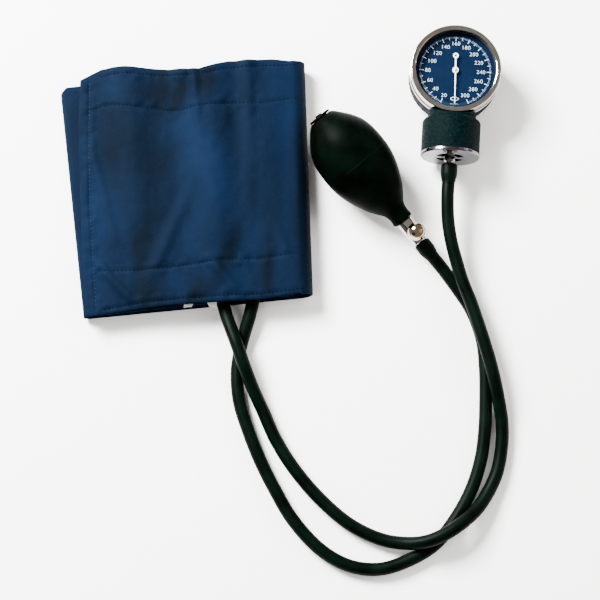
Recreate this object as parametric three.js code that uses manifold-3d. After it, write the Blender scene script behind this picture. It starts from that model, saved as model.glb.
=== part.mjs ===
// An aneroid sphygmomanometer as it lies on a table: a rolled arm cuff with its air bladder, two
// rubber tubes, a squeeze bulb with an inlet valve and a release valve, and a round dial gauge.
// Lengths are millimetres and angles are degrees. +Z is up and the table is the plane z = 0.
// Places on the table are measured from the middle of the view, and KIT_MIDDLE then moves the
// whole kit so that the middle of its own plan lies at the origin.

import * as THREE from 'three';
import { mergeVertices } from 'three/addons/utils/BufferGeometryUtils.js';
import Module from 'manifold-3d';

const wasm = await Module();
wasm.setup();

// Sizes shared by every sub-assembly
const KIT_MIDDLE = [-13.3, 77.0];
const SEAT_GAP = 0.3;
const WELD = 1e-4;
const OVERRUN = 1;
const SMALL_CHAMFER = 0.4;
const EDGE_CHAMFER = 0.5;
const FINE_SIDES = 36;
const ROUND_SIDES = 20;
const SMALL_SIDES = 12;

// Sizes of the cuff. Its plan is a little skewed, so each corner has its own place.
const CUFF_LEFT_TOP = [-150.8, 133.4];
const CUFF_LEFT_BOTTOM = [-132.4, -12.2];
const CUFF_RIGHT_TOP = [3.0, 149.2];
const CUFF_RIGHT_BOTTOM = [7.9, 1.6];
const CUFF_WIDTH = 146;
const CLOTH_THICKNESS = 2.0;
const LEAF_THICKNESS = 1.2;
const LINING_THICKNESS = 1.0;
const PATCH_THICKNESS = 0.8;
const LEFT_DROP = 4.4;
const DROP_END = 0.5;
const CORNER_CUT = 4.2;
const FLAP_LEFT_EDGE = [[-130.3, -13.4], [-134.8, 59.1], [-136.9, 103.7], [-136.8, 136.8]];
const FLAP_CORNER = [-124.2, 143.4];
const FLAP_TOP_EDGE = [[-109.6, 144.5], [-80.9, 142.2], [-62.9, 142.6], [-44.9, 147.5], [-17.5, 149.1]];
const FLAP_BOTTOM_EDGE = [[-120.9, -11.9], [-96.8, -8.2], [-71.4, -5.8], [-45.4, -3.9], [-23.0, -2.7]];
const FLAP_COLUMNS = 22;
const FLAP_ROWS = 8;
const FOLD_RIPPLE = 0.55;
const FOLD_WAVES = 21;
const FOLD_SLANT = 1.6;
const FOLD_RISE = 0.3;
const FOLD_CALM = 0.2;
const FLAP_CROWN = 0.9;
const LEAF_CLEARANCE = 3;
const LINING_AREA = { left: 0.035, right: 0.92, bottom: 0.01, top: 0.985 };
const HOOK_PATCH = { left: 0.1, right: 0.4, bottom: 0.12, top: 0.86 };
const LOOP_PATCH = { left: 0.09, right: 0.44, bottom: 0.09, top: 0.9 };
const LABEL_SIZE = [20, 16, 0.4];
const LABEL_PLACE = [-60.5, 0.6];

// Sizes of the bladder and its two tube ports
const BLADDER_LEFT = 0.07;
const BLADDER_RIGHT = 0.9;
const BLADDER_BOTTOM = 0.13;
const BLADDER_TOP = 0.93;
const BLADDER_EDGE = 2.2;
const BLADDER_RIM = [-0.02, 0.22];
const BLADDER_COLUMNS = 12;
const BLADDER_ROWS = 8;
const BLADDER_PORT_RADIUS = 3.6;
const BLADDER_PORT_LENGTH = 8.5;
const GAUGE_PORT_FACE = [-49.4, 5.6];
const GAUGE_PORT_TURN = 14;
const BULB_PORT_FACE = [-26.9, 6.2];
const BULB_PORT_TURN = -12;

// Sizes of the tubes. The gauge tube lies on top where the two cross.
const TUBE_RADIUS = 4.0;
const TUBE_WALL = 1.7;
const TUBE_SIDES = 10;
const TUBE_STEPS = 34;
const BARB_RADIUS = 3.1;
const BARB_DEPTH = 0.5;
const BARB_LENGTH = 9;
const BARB_COUNT = 3;
const MOUTH_ROUNDING = 0.8;
const COLLAR_TAPER = 2.5;
const GAUGE_TUBE_ROUTE = [
  [-47.0, -3.6, 7.5], [-44.6, -12.0, 8.2], [-41.6, -20.6, 10.6], [-38.1, -30.1, 12.5],
  [-33.9, -42.2, 11.9], [-28.2, -56.7, 7.4], [-22.7, -68.7, 4.9], [-14.5, -86.9, 4.2],
  [-3.0, -104.9, 4.2], [12.6, -122.9, 4.2], [29.9, -137.4, 4.2], [47.7, -146.0, 4.6],
  [62.0, -148.6, 6.8], [74.0, -148.0, 11.2], [84.6, -144.1, 13.0], [94.9, -137.8, 12.2],
  [105.3, -128.7, 8.2], [113.4, -116.9, 5.1], [118.8, -104.9, 4.2], [121.9, -86.9, 4.4],
  [121.8, -74.8, 5.4], [119.9, -63.1, 8.4], [117.4, -51.3, 11.2], [114.5, -39.3, 12.5],
  [111.1, -27.1, 12.8], [107.4, -14.8, 12.8], [103.4, -2.4, 12.8], [98.8, 10.0, 12.8],
  [95.3, 22.3, 13.4], [92.3, 34.6, 14.6], [90.6, 46.8, 16.0],
];
const BULB_TUBE_ROUTE = [
  [-28.7, -2.2, 7.6], [-31.0, -12.0, 6.3], [-34.2, -22.6, 4.7], [-36.6, -32.4, 4.2],
  [-38.3, -45.4, 4.2], [-37.0, -62.6, 4.2], [-31.4, -80.8, 4.2], [-24.1, -98.9, 4.2],
  [-15.0, -116.9, 4.2], [-4.2, -134.8, 4.2], [12.5, -152.5, 4.2], [29.7, -161.9, 4.2],
  [47.6, -163.7, 4.2], [65.5, -158.1, 4.2], [80.5, -149.0, 4.2], [92.4, -134.8, 4.2],
  [102.6, -116.9, 4.2], [108.7, -98.9, 4.2], [111.5, -80.8, 4.2], [112.5, -62.6, 4.2],
  [112.7, -44.2, 4.2], [111.1, -25.7, 4.2], [104.8, -7.0, 4.2], [97.1, 5.5, 4.2],
];

// Sizes of the bulb. Its shape is stations along the axis and radii, as shares of the two sizes.
const BULB_LENGTH = 80.4;
const BULB_RADIUS = 22.3;
const BULB_WALL = 2.4;
const BULB_PLACE = [12.5, 107.2];
const BULB_AIM = [50.7, -59.8];
const BULB_TILT = 12;
const BULB_SHAPE = [
  [0.0, 0.34], [0.03, 0.46], [0.077, 0.6], [0.137, 0.767], [0.212, 0.91], [0.3, 0.975], [0.42, 1.0],
  [0.523, 0.965], [0.6, 0.9], [0.682, 0.79], [0.77, 0.62], [0.82, 0.53], [0.88, 0.354],
  [0.935, 0.29], [1.0, 0.3],
];

// Sizes of the inlet valve in the bulb's free end
const INLET_DISC_RADIUS = 7.4;
const INLET_DISC_THICKNESS = 1.4;
const INLET_BUMP_RADIUS = 2.25;
const INLET_BUMP_HEIGHT = 1.0;
const INLET_STEM_RADIUS = 4.7;
const INLET_STEM_LENGTH = 9;
const INLET_BORE = 0.9;
const INLET_ROOM_RADIUS = 3.6;
const INLET_ROOM_DEPTH = 6;
const INLET_FLAP_RADIUS = 3.1;
const INLET_FLAP_THICKNESS = 0.8;
const INLET_LIFT = 0.8;
const CAGE_THICKNESS = 1.0;

// Sizes of the release valve, measured along its axis from the bulb's neck
const VALVE_RADIUS = 5.3;
const VALVE_LENGTH = 16.6;
const VALVE_BORE = 1.5;
const SPIGOT_RADIUS = 4.6;
const SPIGOT_LENGTH = 10;
const CHECK_ROOM_RADIUS = 2.4;
const CHECK_SEAT_LENGTH = 1.5;
const CHECK_SEAT_BORE = 1.1;
const CHECK_BALL_RADIUS = 1.7;
const CHECK_LIFT = 0.8;
const BOSS_PLACE = 9.4;
const BOSS_WALL = 0.3;
const BOSS_TOP = 6.6;
const SCREW_RADIUS = 2.2;
const RELIEF_SEAT_HEIGHT = 2.3;
const RELIEF_SEAT_BORE = 0.8;
const RELIEF_VENT = 0.7;
const PAD_RADIUS = 1.7;
const PAD_THICKNESS = 1.2;
const SEAL_RADIUS = 3.4;
const SEAL_THICKNESS = 0.8;
const KNOB_RADIUS = 5.7;
const KNOB_SKIRT = 3.6;
const KNOB_FOOT_RADIUS = 4.1;
const KNOB_FLARE = 1.2;

// Sizes of the gauge, heights measured from the table
const GAUGE_PLACE = [95.8, 139.1];
const GAUGE_LEAN = 4;
const DIAL_TURN = 1.5;
const BEZEL_RADIUS = 27.9;
const CASE_STEP = 0.1;
const FLANGE_STEP = 0.5;
const CASE_ROUNDING = 10;
const CASE_WALL = 2;
const RIM_RISE = 2.45;
const FLANGE_THICKNESS = 3.1;
const FLANGE_WIDTH = 4.2;
const BEZEL_WALL = 1.4;
const BEZEL_LIP = 0.9;
const BEZEL_FACE = 3.2;
const BEZEL_ROUNDING = 0.8;
const CRYSTAL_THICKNESS = 1.5;
const SPACER_STEP = 0.1;
const SPACER_HEIGHT = 2.9;
const DIAL_THICKNESS = 0.7;

// Sizes of the gauge's neck
const DRUM_RADIUS = 18.05;
const DRUM_LENGTH = 21.2;
const DRUM_FILLET = 2.5;
const DRUM_WALL = 1.8;
const DRUM_WEB = 2.7;
const WAIST_RADIUS = 14.85;
const WAIST_LENGTH = 2.0;
const WAIST_OVERLAP = 4;
const CAP_RADIUS = 18.2;
const CAP_THICKNESS = 2.1;
const CAP_SPIGOT = 2.6;
const CAP_HOLE = 2.1;
const CAP_WINDOWS = 4;
const CAP_WINDOW_INNER = 4.4;
const CAP_WINDOW_OUTER = 8.9;
const CAP_WINDOW_SWEEP = 58;
const NIPPLE_COLLAR_RADIUS = 3.4;
const NIPPLE_COLLAR_LENGTH = 1.8;
const NIPPLE_NECK_RADIUS = 2.3;
const NIPPLE_NECK_LENGTH = 1.8;
const NIPPLE_SHANK_RADIUS = 1.7;
const NIPPLE_BORE = 1.0;
const NIPPLE_REACH = 5.5;

// Sizes of the movement. The sector turns the pinion, and the rod lifts the lever on its arbor.
const CAPSULE_RADIUS = 13.6;
const CAPSULE_ROOM = 3.5;
const CAPSULE_DEPTH = 5.2;
const CAPSULE_WALL = 0.45;
const CAPSULE_WAVE = 0.7;
const CAPSULE_RINGS = 5;
const CAPSULE_RIM = 0.5;
const CAPSULE_HUB_RADIUS = 4;
const ROD_RADIUS = 1.2;
const ROD_FOOT_RADIUS = 3;
const ROD_FOOT_THICKNESS = 0.8;
const ROD_GUIDE = 0.4;
const MODULE = 0.4;
const PINION_TEETH = 8;
const SECTOR_WHEEL_TEETH = 96;
const SECTOR_FIRST_TOOTH = -9;
const SECTOR_LAST_TOOTH = 1;
const TOOTH_ABOVE = 0.35;
const TOOTH_BELOW = 0.48;
const PINION_TOOTH = { root: 0.32, tip: 0.11 };
const SECTOR_TOOTH = { root: 0.27, tip: 0.1 };
const SECTOR_RIM = 1.8;
const SECTOR_WINDOW = { start: 0.4, spoke: 6, foot: 9 };
const LEVER_REACH = 4;
const LEVER_OVERHANG = 2;
const LEVER_WIDTH = 1.2;
const LEVER_HUB_RADIUS = 1.8;
const POINTER_SWEEP = 337.5;
const ARBOR_RADIUS = 0.6;
const SECTOR_ARBOR_RADIUS = 0.7;
const PIVOT_CLEARANCE = 0.3;
const BOTTOM_PLATE_DROP = 7.25;
const TOP_PLATE_RISE = 1.25;
const PLATE_THICKNESS = 1.0;
const PLATE_MARGIN = 1.7;
const BRIDGE_MARGIN = 3.2;
const SECTOR_DROP = 4.35;
const SECTOR_THICKNESS = 0.9;
const PINION_HEIGHT = 1.9;
const LEVER_THICKNESS = 1.8;
const SPRING_DROP = 1.15;
const SPRING_TURNS = 2.5;
const SPRING_INNER = 1.7;
const SPRING_OUTER = 5.4;
const SPRING_STRIP = [0.3, 0.8];
const COLLET_RADIUS = 1.2;
const COLLET_MARGIN = 0.2;
const STUD_RADIUS = 0.5;
const PILLAR_PLACES = [[-14, 8], [14, 8], [12.5, -13.5]];
const PILLAR_RADIUS = 1.6;
const POST_RADIUS = 2.2;
const PLATE_SCREW_RADIUS = 0.7;
const PLATE_SCREW_HEAD = 1.5;
const PLATE_SCREW_HEAD_HEIGHT = 0.5;
const PLATE_SCREW_CROWN = 0.3;
const PLATE_SCREW_LENGTH = 3;
const POINTER_LENGTH = 21.5;
const POINTER_TAIL = 9.3;
const POINTER_WIDTH = 0.8;
const POINTER_THICKNESS = 0.4;
const POINTER_HUB_RADIUS = 1.85;
const POINTER_HUB_HEIGHT = 1.2;
const POINTER_LIFT = 1.2;
const POINTER_INSET = 0.2;
const POINTER_TIP_SHARE = 0.5;
const TAIL_RING = [1.7, 0.75];

// Finishes seen in the view: colour, roughness and metalness
const NAVY_NYLON = { color: 0x1d2f57, roughness: 0.85, metalness: 0 };
const NAVY_PILE = { color: 0x16213f, roughness: 1, metalness: 0 };
const WHITE_TAPE = { color: 0xe9ebe8, roughness: 0.8, metalness: 0 };
const BLACK_RUBBER = { color: 0x101413, roughness: 0.55, metalness: 0 };
const DULL_RUBBER = { color: 0x1b1d1d, roughness: 0.75, metalness: 0 };
const CHROME = { color: 0xd6d8da, roughness: 0.12, metalness: 1 };
const WRINKLE_PAINT = { color: 0x14211f, roughness: 0.7, metalness: 0.1 };
const DIAL_BLUE = { color: 0x1f4379, roughness: 0.5, metalness: 0 };
const DARK_RING = { color: 0x0d1420, roughness: 0.6, metalness: 0 };
const POINTER_WHITE = { color: 0xf2f3f1, roughness: 0.5, metalness: 0 };
const BRASS = { color: 0xb58f4a, roughness: 0.35, metalness: 1 };
const STEEL = { color: 0xa9adb1, roughness: 0.3, metalness: 1 };
const CLEAR_GLASS = { color: 0xe6eef2, roughness: 0.05, metalness: 0, transparent: true, opacity: 0.3 };

// Small helpers for numbers
const radians = THREE.MathUtils.degToRad;
const mix = THREE.MathUtils.lerp;

function smoothStep(from, to, value) {
  return THREE.MathUtils.smoothstep(value, from, to);
}

function polar(radius, degrees) {
  return [radius * Math.cos(radians(degrees)), radius * Math.sin(radians(degrees))];
}

// Points of an arc from one angle to another round a centre, both ends included
function arc(centre, radius, from, to, steps) {
  const points = [];
  for (let step = 0; step <= steps; step += 1) {
    const [x, y] = polar(radius, mix(from, to, step / steps));
    points.push([centre[0] + x, centre[1] + y]);
  }
  return points;
}

// Value of a polyline's second coordinate at a first coordinate
function heightAlong(points, place) {
  for (let index = 1; index < points.length; index += 1) {
    const [from, to] = [points[index - 1], points[index]];
    if (place <= to[0] || index === points.length - 1) {
      return mix(from[1], to[1], (place - from[0]) / (to[0] - from[0]));
    }
  }
  return points[0][1];
}

// Signed volume of a closed mesh, negative where its faces point in
function signedVolume(positions, corners) {
  const at = (index) => new THREE.Vector3().fromArray(positions, corners[index] * 3);
  let sum = 0;
  for (let index = 0; index < corners.length; index += 3) {
    sum += at(index).dot(at(index + 1).cross(at(index + 2))) / 6;
  }
  return sum;
}

// A closed mesh with welded corners, no empty triangles and faces pointing out
function closed(geometry) {
  const bare = geometry.clone();
  bare.deleteAttribute('normal');
  bare.deleteAttribute('uv');
  const welded = mergeVertices(bare, WELD);
  const corners = welded.index.array;
  const kept = [];
  for (let index = 0; index < corners.length; index += 3) {
    const [a, b, c] = [corners[index], corners[index + 1], corners[index + 2]];
    if (a !== b && b !== c && c !== a) {
      kept.push(a, b, c);
    }
  }
  if (signedVolume(welded.attributes.position.array, kept) < 0) {
    kept.reverse();
  }
  welded.setIndex(kept);
  return welded;
}

// Conversions between a mesh and a solid that can be joined and cut
function solid(geometry) {
  const mesh = closed(geometry);
  return new wasm.Manifold(new wasm.Mesh({
    numProp: 3,
    vertProperties: new Float32Array(mesh.attributes.position.array),
    triVerts: new Uint32Array(mesh.index.array),
  }));
}

function meshOf(body) {
  const { vertProperties, triVerts } = body.getMesh();
  const geometry = new THREE.BufferGeometry();
  geometry.setAttribute('position', new THREE.BufferAttribute(new Float32Array(vertProperties), 3));
  geometry.setIndex(new THREE.BufferAttribute(new Uint32Array(triVerts), 1));
  return geometry;
}

function joined(...geometries) {
  return meshOf(geometries.map(solid).reduce((whole, next) => whole.add(next)));
}

function cut(geometry, ...tools) {
  return meshOf(tools.map(solid).reduce((whole, tool) => whole.subtract(tool), solid(geometry)));
}

// A turned piece round Z. The profile lists radius and height, and a ring closes on itself.
function turned(profile, sides) {
  const points = profile.map(([radius, height]) => new THREE.Vector2(radius, height));
  if (profile[0][0] > 0) {
    points.push(points[0].clone());
  }
  return closed(new THREE.LatheGeometry(points, sides).rotateX(Math.PI / 2));
}

function bar(radius, from, to, sides, place = [0, 0]) {
  const profile = [[0, from], [radius, from], [radius, to], [0, to]];
  return turned(profile, sides).translate(place[0], place[1], 0);
}

function ring(inner, outer, from, to, sides) {
  return turned([[inner, from], [outer, from], [outer, to], [inner, to]], sides);
}

function outline(points) {
  return new THREE.Shape(points.map(([x, y]) => new THREE.Vector2(x, y)));
}

// A flat plate of a given outline between two heights
function plate(shape, from, to, curveSegments = 6) {
  const options = { depth: to - from, bevelEnabled: false, curveSegments };
  return closed(new THREE.ExtrudeGeometry(shape, options).translate(0, 0, from));
}

function block(x, y, z) {
  const geometry = new THREE.BoxGeometry(x[1] - x[0], y[1] - y[0], z[1] - z[0]);
  return closed(geometry.translate((x[0] + x[1]) / 2, (y[0] + y[1]) / 2, (z[0] + z[1]) / 2));
}

// Bends a mesh by sending every corner through a function
function bent(geometry, place) {
  const moved = closed(geometry);
  const position = moved.attributes.position;
  for (let index = 0; index < position.count; index += 1) {
    const corner = place(position.getX(index), position.getY(index), position.getZ(index));
    position.setXYZ(index, ...corner);
  }
  return closed(moved);
}

// A soft sheet over the unit square: a place function gives each corner of its top or bottom
function sheet(columns, rows, place) {
  const flat = new THREE.BoxGeometry(1, 1, 1, columns, rows, 1).translate(0.5, 0.5, 0.5);
  return bent(flat, (u, v, side) => place(u, v, side > 0.5));
}

function piece(name, geometry, finish) {
  const mesh = new THREE.Mesh(geometry, new THREE.MeshStandardMaterial(finish));
  mesh.name = name;
  return mesh;
}

function assembly(...members) {
  const group = new THREE.Group();
  group.add(...members);
  return group;
}

// Levels of the cuff's layers at its full height, from the table upwards. The tubes come out
// between the lining and the leaf, so the room there is a tube and a gap on each side.
const SLEEVE_ROOM = 2 * (TUBE_RADIUS + SEAT_GAP);
const LINING_Z = CLOTH_THICKNESS + SEAT_GAP;
const SLEEVE_Z = LINING_Z + LINING_THICKNESS;
const LEAF_Z = SLEEVE_Z + SLEEVE_ROOM;
const LOOP_Z = LEAF_Z + LEAF_THICKNESS + SEAT_GAP;
const HOOK_Z = LOOP_Z + PATCH_THICKNESS + SEAT_GAP;
const FLAP_Z = HOOK_Z + PATCH_THICKNESS + SEAT_GAP;
const STACK_HEIGHT = FLAP_Z + CLOTH_THICKNESS;
const TUBE_LEVEL = (SLEEVE_Z + LEAF_Z) / 2;
const FOLD_RADIUS = STACK_HEIGHT / 2;

// The stack is thinner towards its left side, so the upper layers sink there
function settled(u, z) {
  const drop = LEFT_DROP * (1 - smoothStep(0, DROP_END, u));
  return z - drop;
}

// A place in the cuff's skewed plan: u runs from left to right and v from bottom to top
function onCuff(u, v) {
  const between = (from, to, share) => from.map((value, axis) => mix(value, to[axis], share));
  const bottom = between(CUFF_LEFT_BOTTOM, CUFF_RIGHT_BOTTOM, u);
  const top = between(CUFF_LEFT_TOP, CUFF_RIGHT_TOP, u);
  return between(bottom, top, v);
}

// Share of the cuff's width at a place of its plan, found by closing in on it
function shareAt(x, y) {
  let u = 0.5;
  for (let turn = 0; turn < 4; turn += 1) {
    const [low, high] = [onCuff(u, 0)[1], onCuff(u, 1)[1]];
    const v = (y - low) / (high - low);
    const [left, right] = [onCuff(0, v)[0], onCuff(1, v)[0]];
    u = (x - left) / (right - left);
  }
  return u;
}

// The right fold begins at this share of the cuff's width, and the flap ends just before it
const FOLD_SHARE = 1 - FOLD_RADIUS / CUFF_WIDTH;
const HINGE_SHARE = FOLD_SHARE - SEAT_GAP / CUFF_WIDTH;

// Section of the rolled cloth as shares of the width and heights: it comes down the right fold,
// runs along the table, turns up at the left and ends as the leaf over the bladder
function rollSection() {
  const across = (distance) => distance / CUFF_WIDTH;
  const innerRadius = FOLD_RADIUS - CLOTH_THICKNESS;
  const leafTop = settled(0, LEAF_Z + LEAF_THICKNESS);
  const leftRadius = leafTop / 2;
  const leafEnd = FOLD_SHARE - across(LEAF_CLEARANCE);
  const rightOuter = arc([0, FOLD_RADIUS], FOLD_RADIUS, 90, -90, 10);
  const leftOuter = arc([0, leftRadius], leftRadius, 270, 90, 6);
  const leafShares = [0.12, 0.22, 0.32, 0.42, 0.52, leafEnd];
  const points = [];
  rightOuter.forEach(([x, z]) => points.push([FOLD_SHARE + across(x), z]));
  leftOuter.forEach(([x, z]) => points.push([across(leftRadius + x), z]));
  leafShares.forEach((u) => points.push([u, settled(u, LEAF_Z + LEAF_THICKNESS)]));
  leafShares.reverse().forEach((u) => points.push([u, settled(u, LEAF_Z)]));
  const leafBottom = settled(0, LEAF_Z);
  const pocketRadius = (leafBottom - CLOTH_THICKNESS) / 2;
  const pocket = arc([0, CLOTH_THICKNESS + pocketRadius], pocketRadius, 90, 270, 5);
  pocket.forEach(([x, z]) => points.push([across(leftRadius + x), z]));
  const rightInner = arc([0, FOLD_RADIUS], innerRadius, -90, 90, 10);
  rightInner.forEach(([x, z]) => points.push([FOLD_SHARE + across(x), z]));
  return points;
}

function cuffWrap() {
  const section = outline(rollSection());
  const options = { depth: 1, steps: 4, bevelEnabled: false };
  const straight = new THREE.ExtrudeGeometry(section, options);
  return bent(straight, (u, z, v) => {
    const shear = Math.max(0, CORNER_CUT - u * CUFF_WIDTH);
    const [x, y] = onCuff(u, v);
    const isTopEdge = v > 1 - WELD;
    return [x, isTopEdge ? y - shear : y, z];
  });
}

// The flap covers the stack from its free left edge to the fold line on the right
function flapPlace(u, v, isTop) {
  const hinge = onCuff(HINGE_SHARE, v);
  const left = FLAP_LEFT_EDGE.map(([x, y]) => [y, x]);
  const topLine = [FLAP_LEFT_EDGE.at(-1), FLAP_CORNER, ...FLAP_TOP_EDGE, onCuff(HINGE_SHARE, 1)];
  const bottomLine = [FLAP_LEFT_EDGE[0], ...FLAP_BOTTOM_EDGE, onCuff(HINGE_SHARE, 0)];
  const topX = mix(topLine[0][0], topLine.at(-1)[0], u);
  const bottomX = mix(bottomLine[0][0], bottomLine.at(-1)[0], u);
  const yTop = heightAlong(topLine, topX);
  const yBottom = heightAlong(bottomLine, bottomX);
  const y = mix(yBottom, yTop, v);
  const edgeX = heightAlong(left, mix(left[0][0], left.at(-1)[0], v));
  const x = mix(edgeX, hinge[0], u);
  const wave = FOLD_RIPPLE * Math.sin(u * FOLD_WAVES + v * FOLD_SLANT) * smoothStep(0, FOLD_RISE, u);
  const crown = FLAP_CROWN * Math.sin(Math.PI * u) * Math.sin(Math.PI * v);
  const level = settled(shareAt(x, y), isTop ? STACK_HEIGHT : FLAP_Z);
  const calm = Math.min(1, (1 - u) / FOLD_CALM);
  return [x, y, isTop ? level + (wave + crown + FOLD_RIPPLE) * calm : level];
}

// A patch covers an area of the plan, given as shares of its width and height
function cuffPatch(area, columns, bottom, top) {
  return sheet(columns, 1, (a, b, isTop) => {
    const u = mix(area.left, area.right, a);
    const [x, y] = onCuff(u, mix(area.bottom, area.top, b));
    return [x, y, isTop ? top(u) : bottom(u)];
  });
}

function restingPatch(area, columns, level) {
  return cuffPatch(area, columns, (u) => settled(u, level), (u) => settled(u, level) + PATCH_THICKNESS);
}

function careLabel() {
  const [width, height, thickness] = LABEL_SIZE;
  const [x, y] = LABEL_PLACE;
  const across = [x - width / 2, x + width / 2];
  const along = [y - height / 2, y + height / 2];
  return block(across, along, [LOOP_Z, LOOP_Z + thickness]);
}

function cuff() {
  return assembly(
    piece('cuff_flap', sheet(FLAP_COLUMNS, FLAP_ROWS, flapPlace), NAVY_NYLON),
    piece('cuff_wrap', cuffWrap(), NAVY_NYLON),
    piece('cuff_lining', cuffPatch(LINING_AREA, 1, () => LINING_Z, () => SLEEVE_Z), NAVY_NYLON),
    piece('hook_patch', restingPatch(HOOK_PATCH, 5, HOOK_Z), NAVY_PILE),
    piece('loop_patch', restingPatch(LOOP_PATCH, 6, LOOP_Z), NAVY_PILE),
    piece('care_label', careLabel(), WHITE_TAPE),
  );
}

// The bladder is a flat cushion with a soft rim. It fills the sleeve between lining and leaf.
function bladderCushion() {
  return sheet(BLADDER_COLUMNS, BLADDER_ROWS, (a, b, isTop) => {
    const u = mix(BLADDER_LEFT, BLADDER_RIGHT, a);
    const v = mix(BLADDER_BOTTOM, BLADDER_TOP, b);
    const [x, y] = onCuff(u, v);
    const low = SLEEVE_Z + SEAT_GAP;
    const high = settled(u, LEAF_Z) - SEAT_GAP;
    const rim = Math.min(a, 1 - a, b, 1 - b);
    const swell = smoothStep(...BLADDER_RIM, rim);
    const level = isTop ? mix(low + BLADDER_EDGE, high, swell) : low;
    return [x, y, level];
  });
}

// The direction towards the front of the table, turned by an angle
function outwards(turn) {
  return new THREE.Vector3(0, -1, 0).applyAxisAngle(new THREE.Vector3(0, 0, 1), radians(turn));
}

// A port is bonded to the bladder's lower edge and leads to its tube
function portPlace(face, turn) {
  return { face: new THREE.Vector3(face[0], face[1], TUBE_LEVEL), aim: outwards(turn) };
}

function tubePort(name, face, turn) {
  const port = bar(BLADDER_PORT_RADIUS, -BLADDER_PORT_LENGTH, 0, ROUND_SIDES);
  const mesh = piece(name, port, DULL_RUBBER);
  const { aim } = portPlace(face, turn);
  mesh.quaternion.setFromUnitVectors(new THREE.Vector3(0, 0, 1), aim);
  mesh.position.set(face[0], face[1], TUBE_LEVEL);
  return mesh;
}

function bladder() {
  return assembly(
    piece('air_bladder', bladderCushion(), DULL_RUBBER),
    tubePort('bladder_gauge_port', GAUGE_PORT_FACE, GAUGE_PORT_TURN),
    tubePort('bladder_bulb_port', BULB_PORT_FACE, BULB_PORT_TURN),
  );
}

// The end of a tube is stretched over barbs, so it is wider there by as much as its bore
const COLLAR_BORE = BARB_RADIUS + SEAT_GAP;
const COLLAR_RADIUS = COLLAR_BORE + TUBE_WALL;
const COLLAR_LENGTH = BARB_LENGTH + SEAT_GAP + COLLAR_TAPER;

// Half profile of the barbs that hold a tube, from their root to the end
function barbs(start) {
  const step = BARB_LENGTH / BARB_COUNT;
  const root = BARB_RADIUS - BARB_DEPTH;
  const points = [];
  for (let index = 0; index < BARB_COUNT; index += 1) {
    points.push([root, start + index * step]);
    points.push([BARB_RADIUS, start + (index + 0.25) * step]);
  }
  points.push([root, start + BARB_LENGTH]);
  return points;
}

// The stretched end runs from its mouth to where the tube is its own size again
function stretchedEnd(start) {
  const end = start + COLLAR_LENGTH;
  const shoulder = end - COLLAR_TAPER * 2;
  const bend = end - COLLAR_TAPER;
  return turned([
    [COLLAR_BORE, start], [COLLAR_RADIUS - MOUTH_ROUNDING, start], [COLLAR_RADIUS, start + MOUTH_ROUNDING],
    [COLLAR_RADIUS, shoulder], [mix(COLLAR_RADIUS, TUBE_RADIUS, 0.4), bend], [TUBE_RADIUS, end],
    [TUBE_RADIUS - TUBE_WALL, end], [COLLAR_BORE, bend],
  ], ROUND_SIDES);
}

// Places and directions along the bulb's axis, which runs from the inlet valve to the neck
const bulbAim = new THREE.Vector3(BULB_AIM[0], BULB_AIM[1], 0).normalize();
const bulbAxis = bulbAim.clone().multiplyScalar(Math.cos(radians(BULB_TILT)));
bulbAxis.z = -Math.sin(radians(BULB_TILT));
const bulbUp = bulbAim.clone().multiplyScalar(Math.sin(radians(BULB_TILT)));
bulbUp.z = Math.cos(radians(BULB_TILT));

function bulbProfile() {
  return BULB_SHAPE.map(([along, out]) => [out * BULB_RADIUS, along * BULB_LENGTH]);
}

// Height of the bulb's axis at the inlet valve when its belly lies on the table
function bulbHeight() {
  const reach = bulbProfile().map(([radius, along]) => radius * bulbUp.z - along * bulbAxis.z);
  return Math.max(...reach);
}

// A group whose Z runs along the bulb's axis and whose X points up from it
function alongBulb(...members) {
  const group = assembly(...members);
  const side = new THREE.Vector3().crossVectors(bulbAxis, bulbUp);
  const turn = new THREE.Matrix4().makeBasis(bulbUp, side, bulbAxis);
  group.quaternion.setFromRotationMatrix(turn);
  group.position.set(BULB_PLACE[0], BULB_PLACE[1], bulbHeight());
  return group;
}

function rubberBulb() {
  const outer = bulbProfile();
  const inner = outer.filter((_, index) => index % 2 === 0).map(([radius, along]) => {
    const plug = along < BULB_LENGTH / 2 ? INLET_STEM_RADIUS : SPIGOT_RADIUS;
    return [Math.max(plug + SEAT_GAP, radius - BULB_WALL), along];
  });
  return turned([...outer, ...inner.reverse()], FINE_SIDES);
}

function inletBody() {
  const top = -SEAT_GAP - INLET_DISC_THICKNESS;
  const roomStart = INLET_STEM_LENGTH - INLET_ROOM_DEPTH;
  return turned([
    [INLET_BORE, top - INLET_BUMP_HEIGHT], [INLET_BUMP_RADIUS, top - INLET_BUMP_HEIGHT],
    [INLET_BUMP_RADIUS, top], [INLET_DISC_RADIUS - SMALL_CHAMFER, top],
    [INLET_DISC_RADIUS, top + SMALL_CHAMFER],
    [INLET_DISC_RADIUS, -SEAT_GAP], [INLET_STEM_RADIUS, -SEAT_GAP],
    [INLET_STEM_RADIUS, INLET_STEM_LENGTH], [INLET_ROOM_RADIUS, INLET_STEM_LENGTH],
    [INLET_ROOM_RADIUS, roomStart], [INLET_BORE, roomStart],
  ], ROUND_SIDES);
}

// The cage is a ring with one bar across, which stops the flap when it lifts
function inletCage() {
  const roomStart = INLET_STEM_LENGTH - INLET_ROOM_DEPTH;
  const from = roomStart + SEAT_GAP + INLET_FLAP_THICKNESS + INLET_LIFT + SEAT_GAP;
  const outer = INLET_ROOM_RADIUS - SEAT_GAP;
  const half = CAGE_THICKNESS / 2;
  const cross = block([-outer + half, outer - half], [-half, half], [from, from + CAGE_THICKNESS]);
  return joined(ring(outer - CAGE_THICKNESS, outer, from, from + CAGE_THICKNESS, ROUND_SIDES), cross);
}

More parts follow.
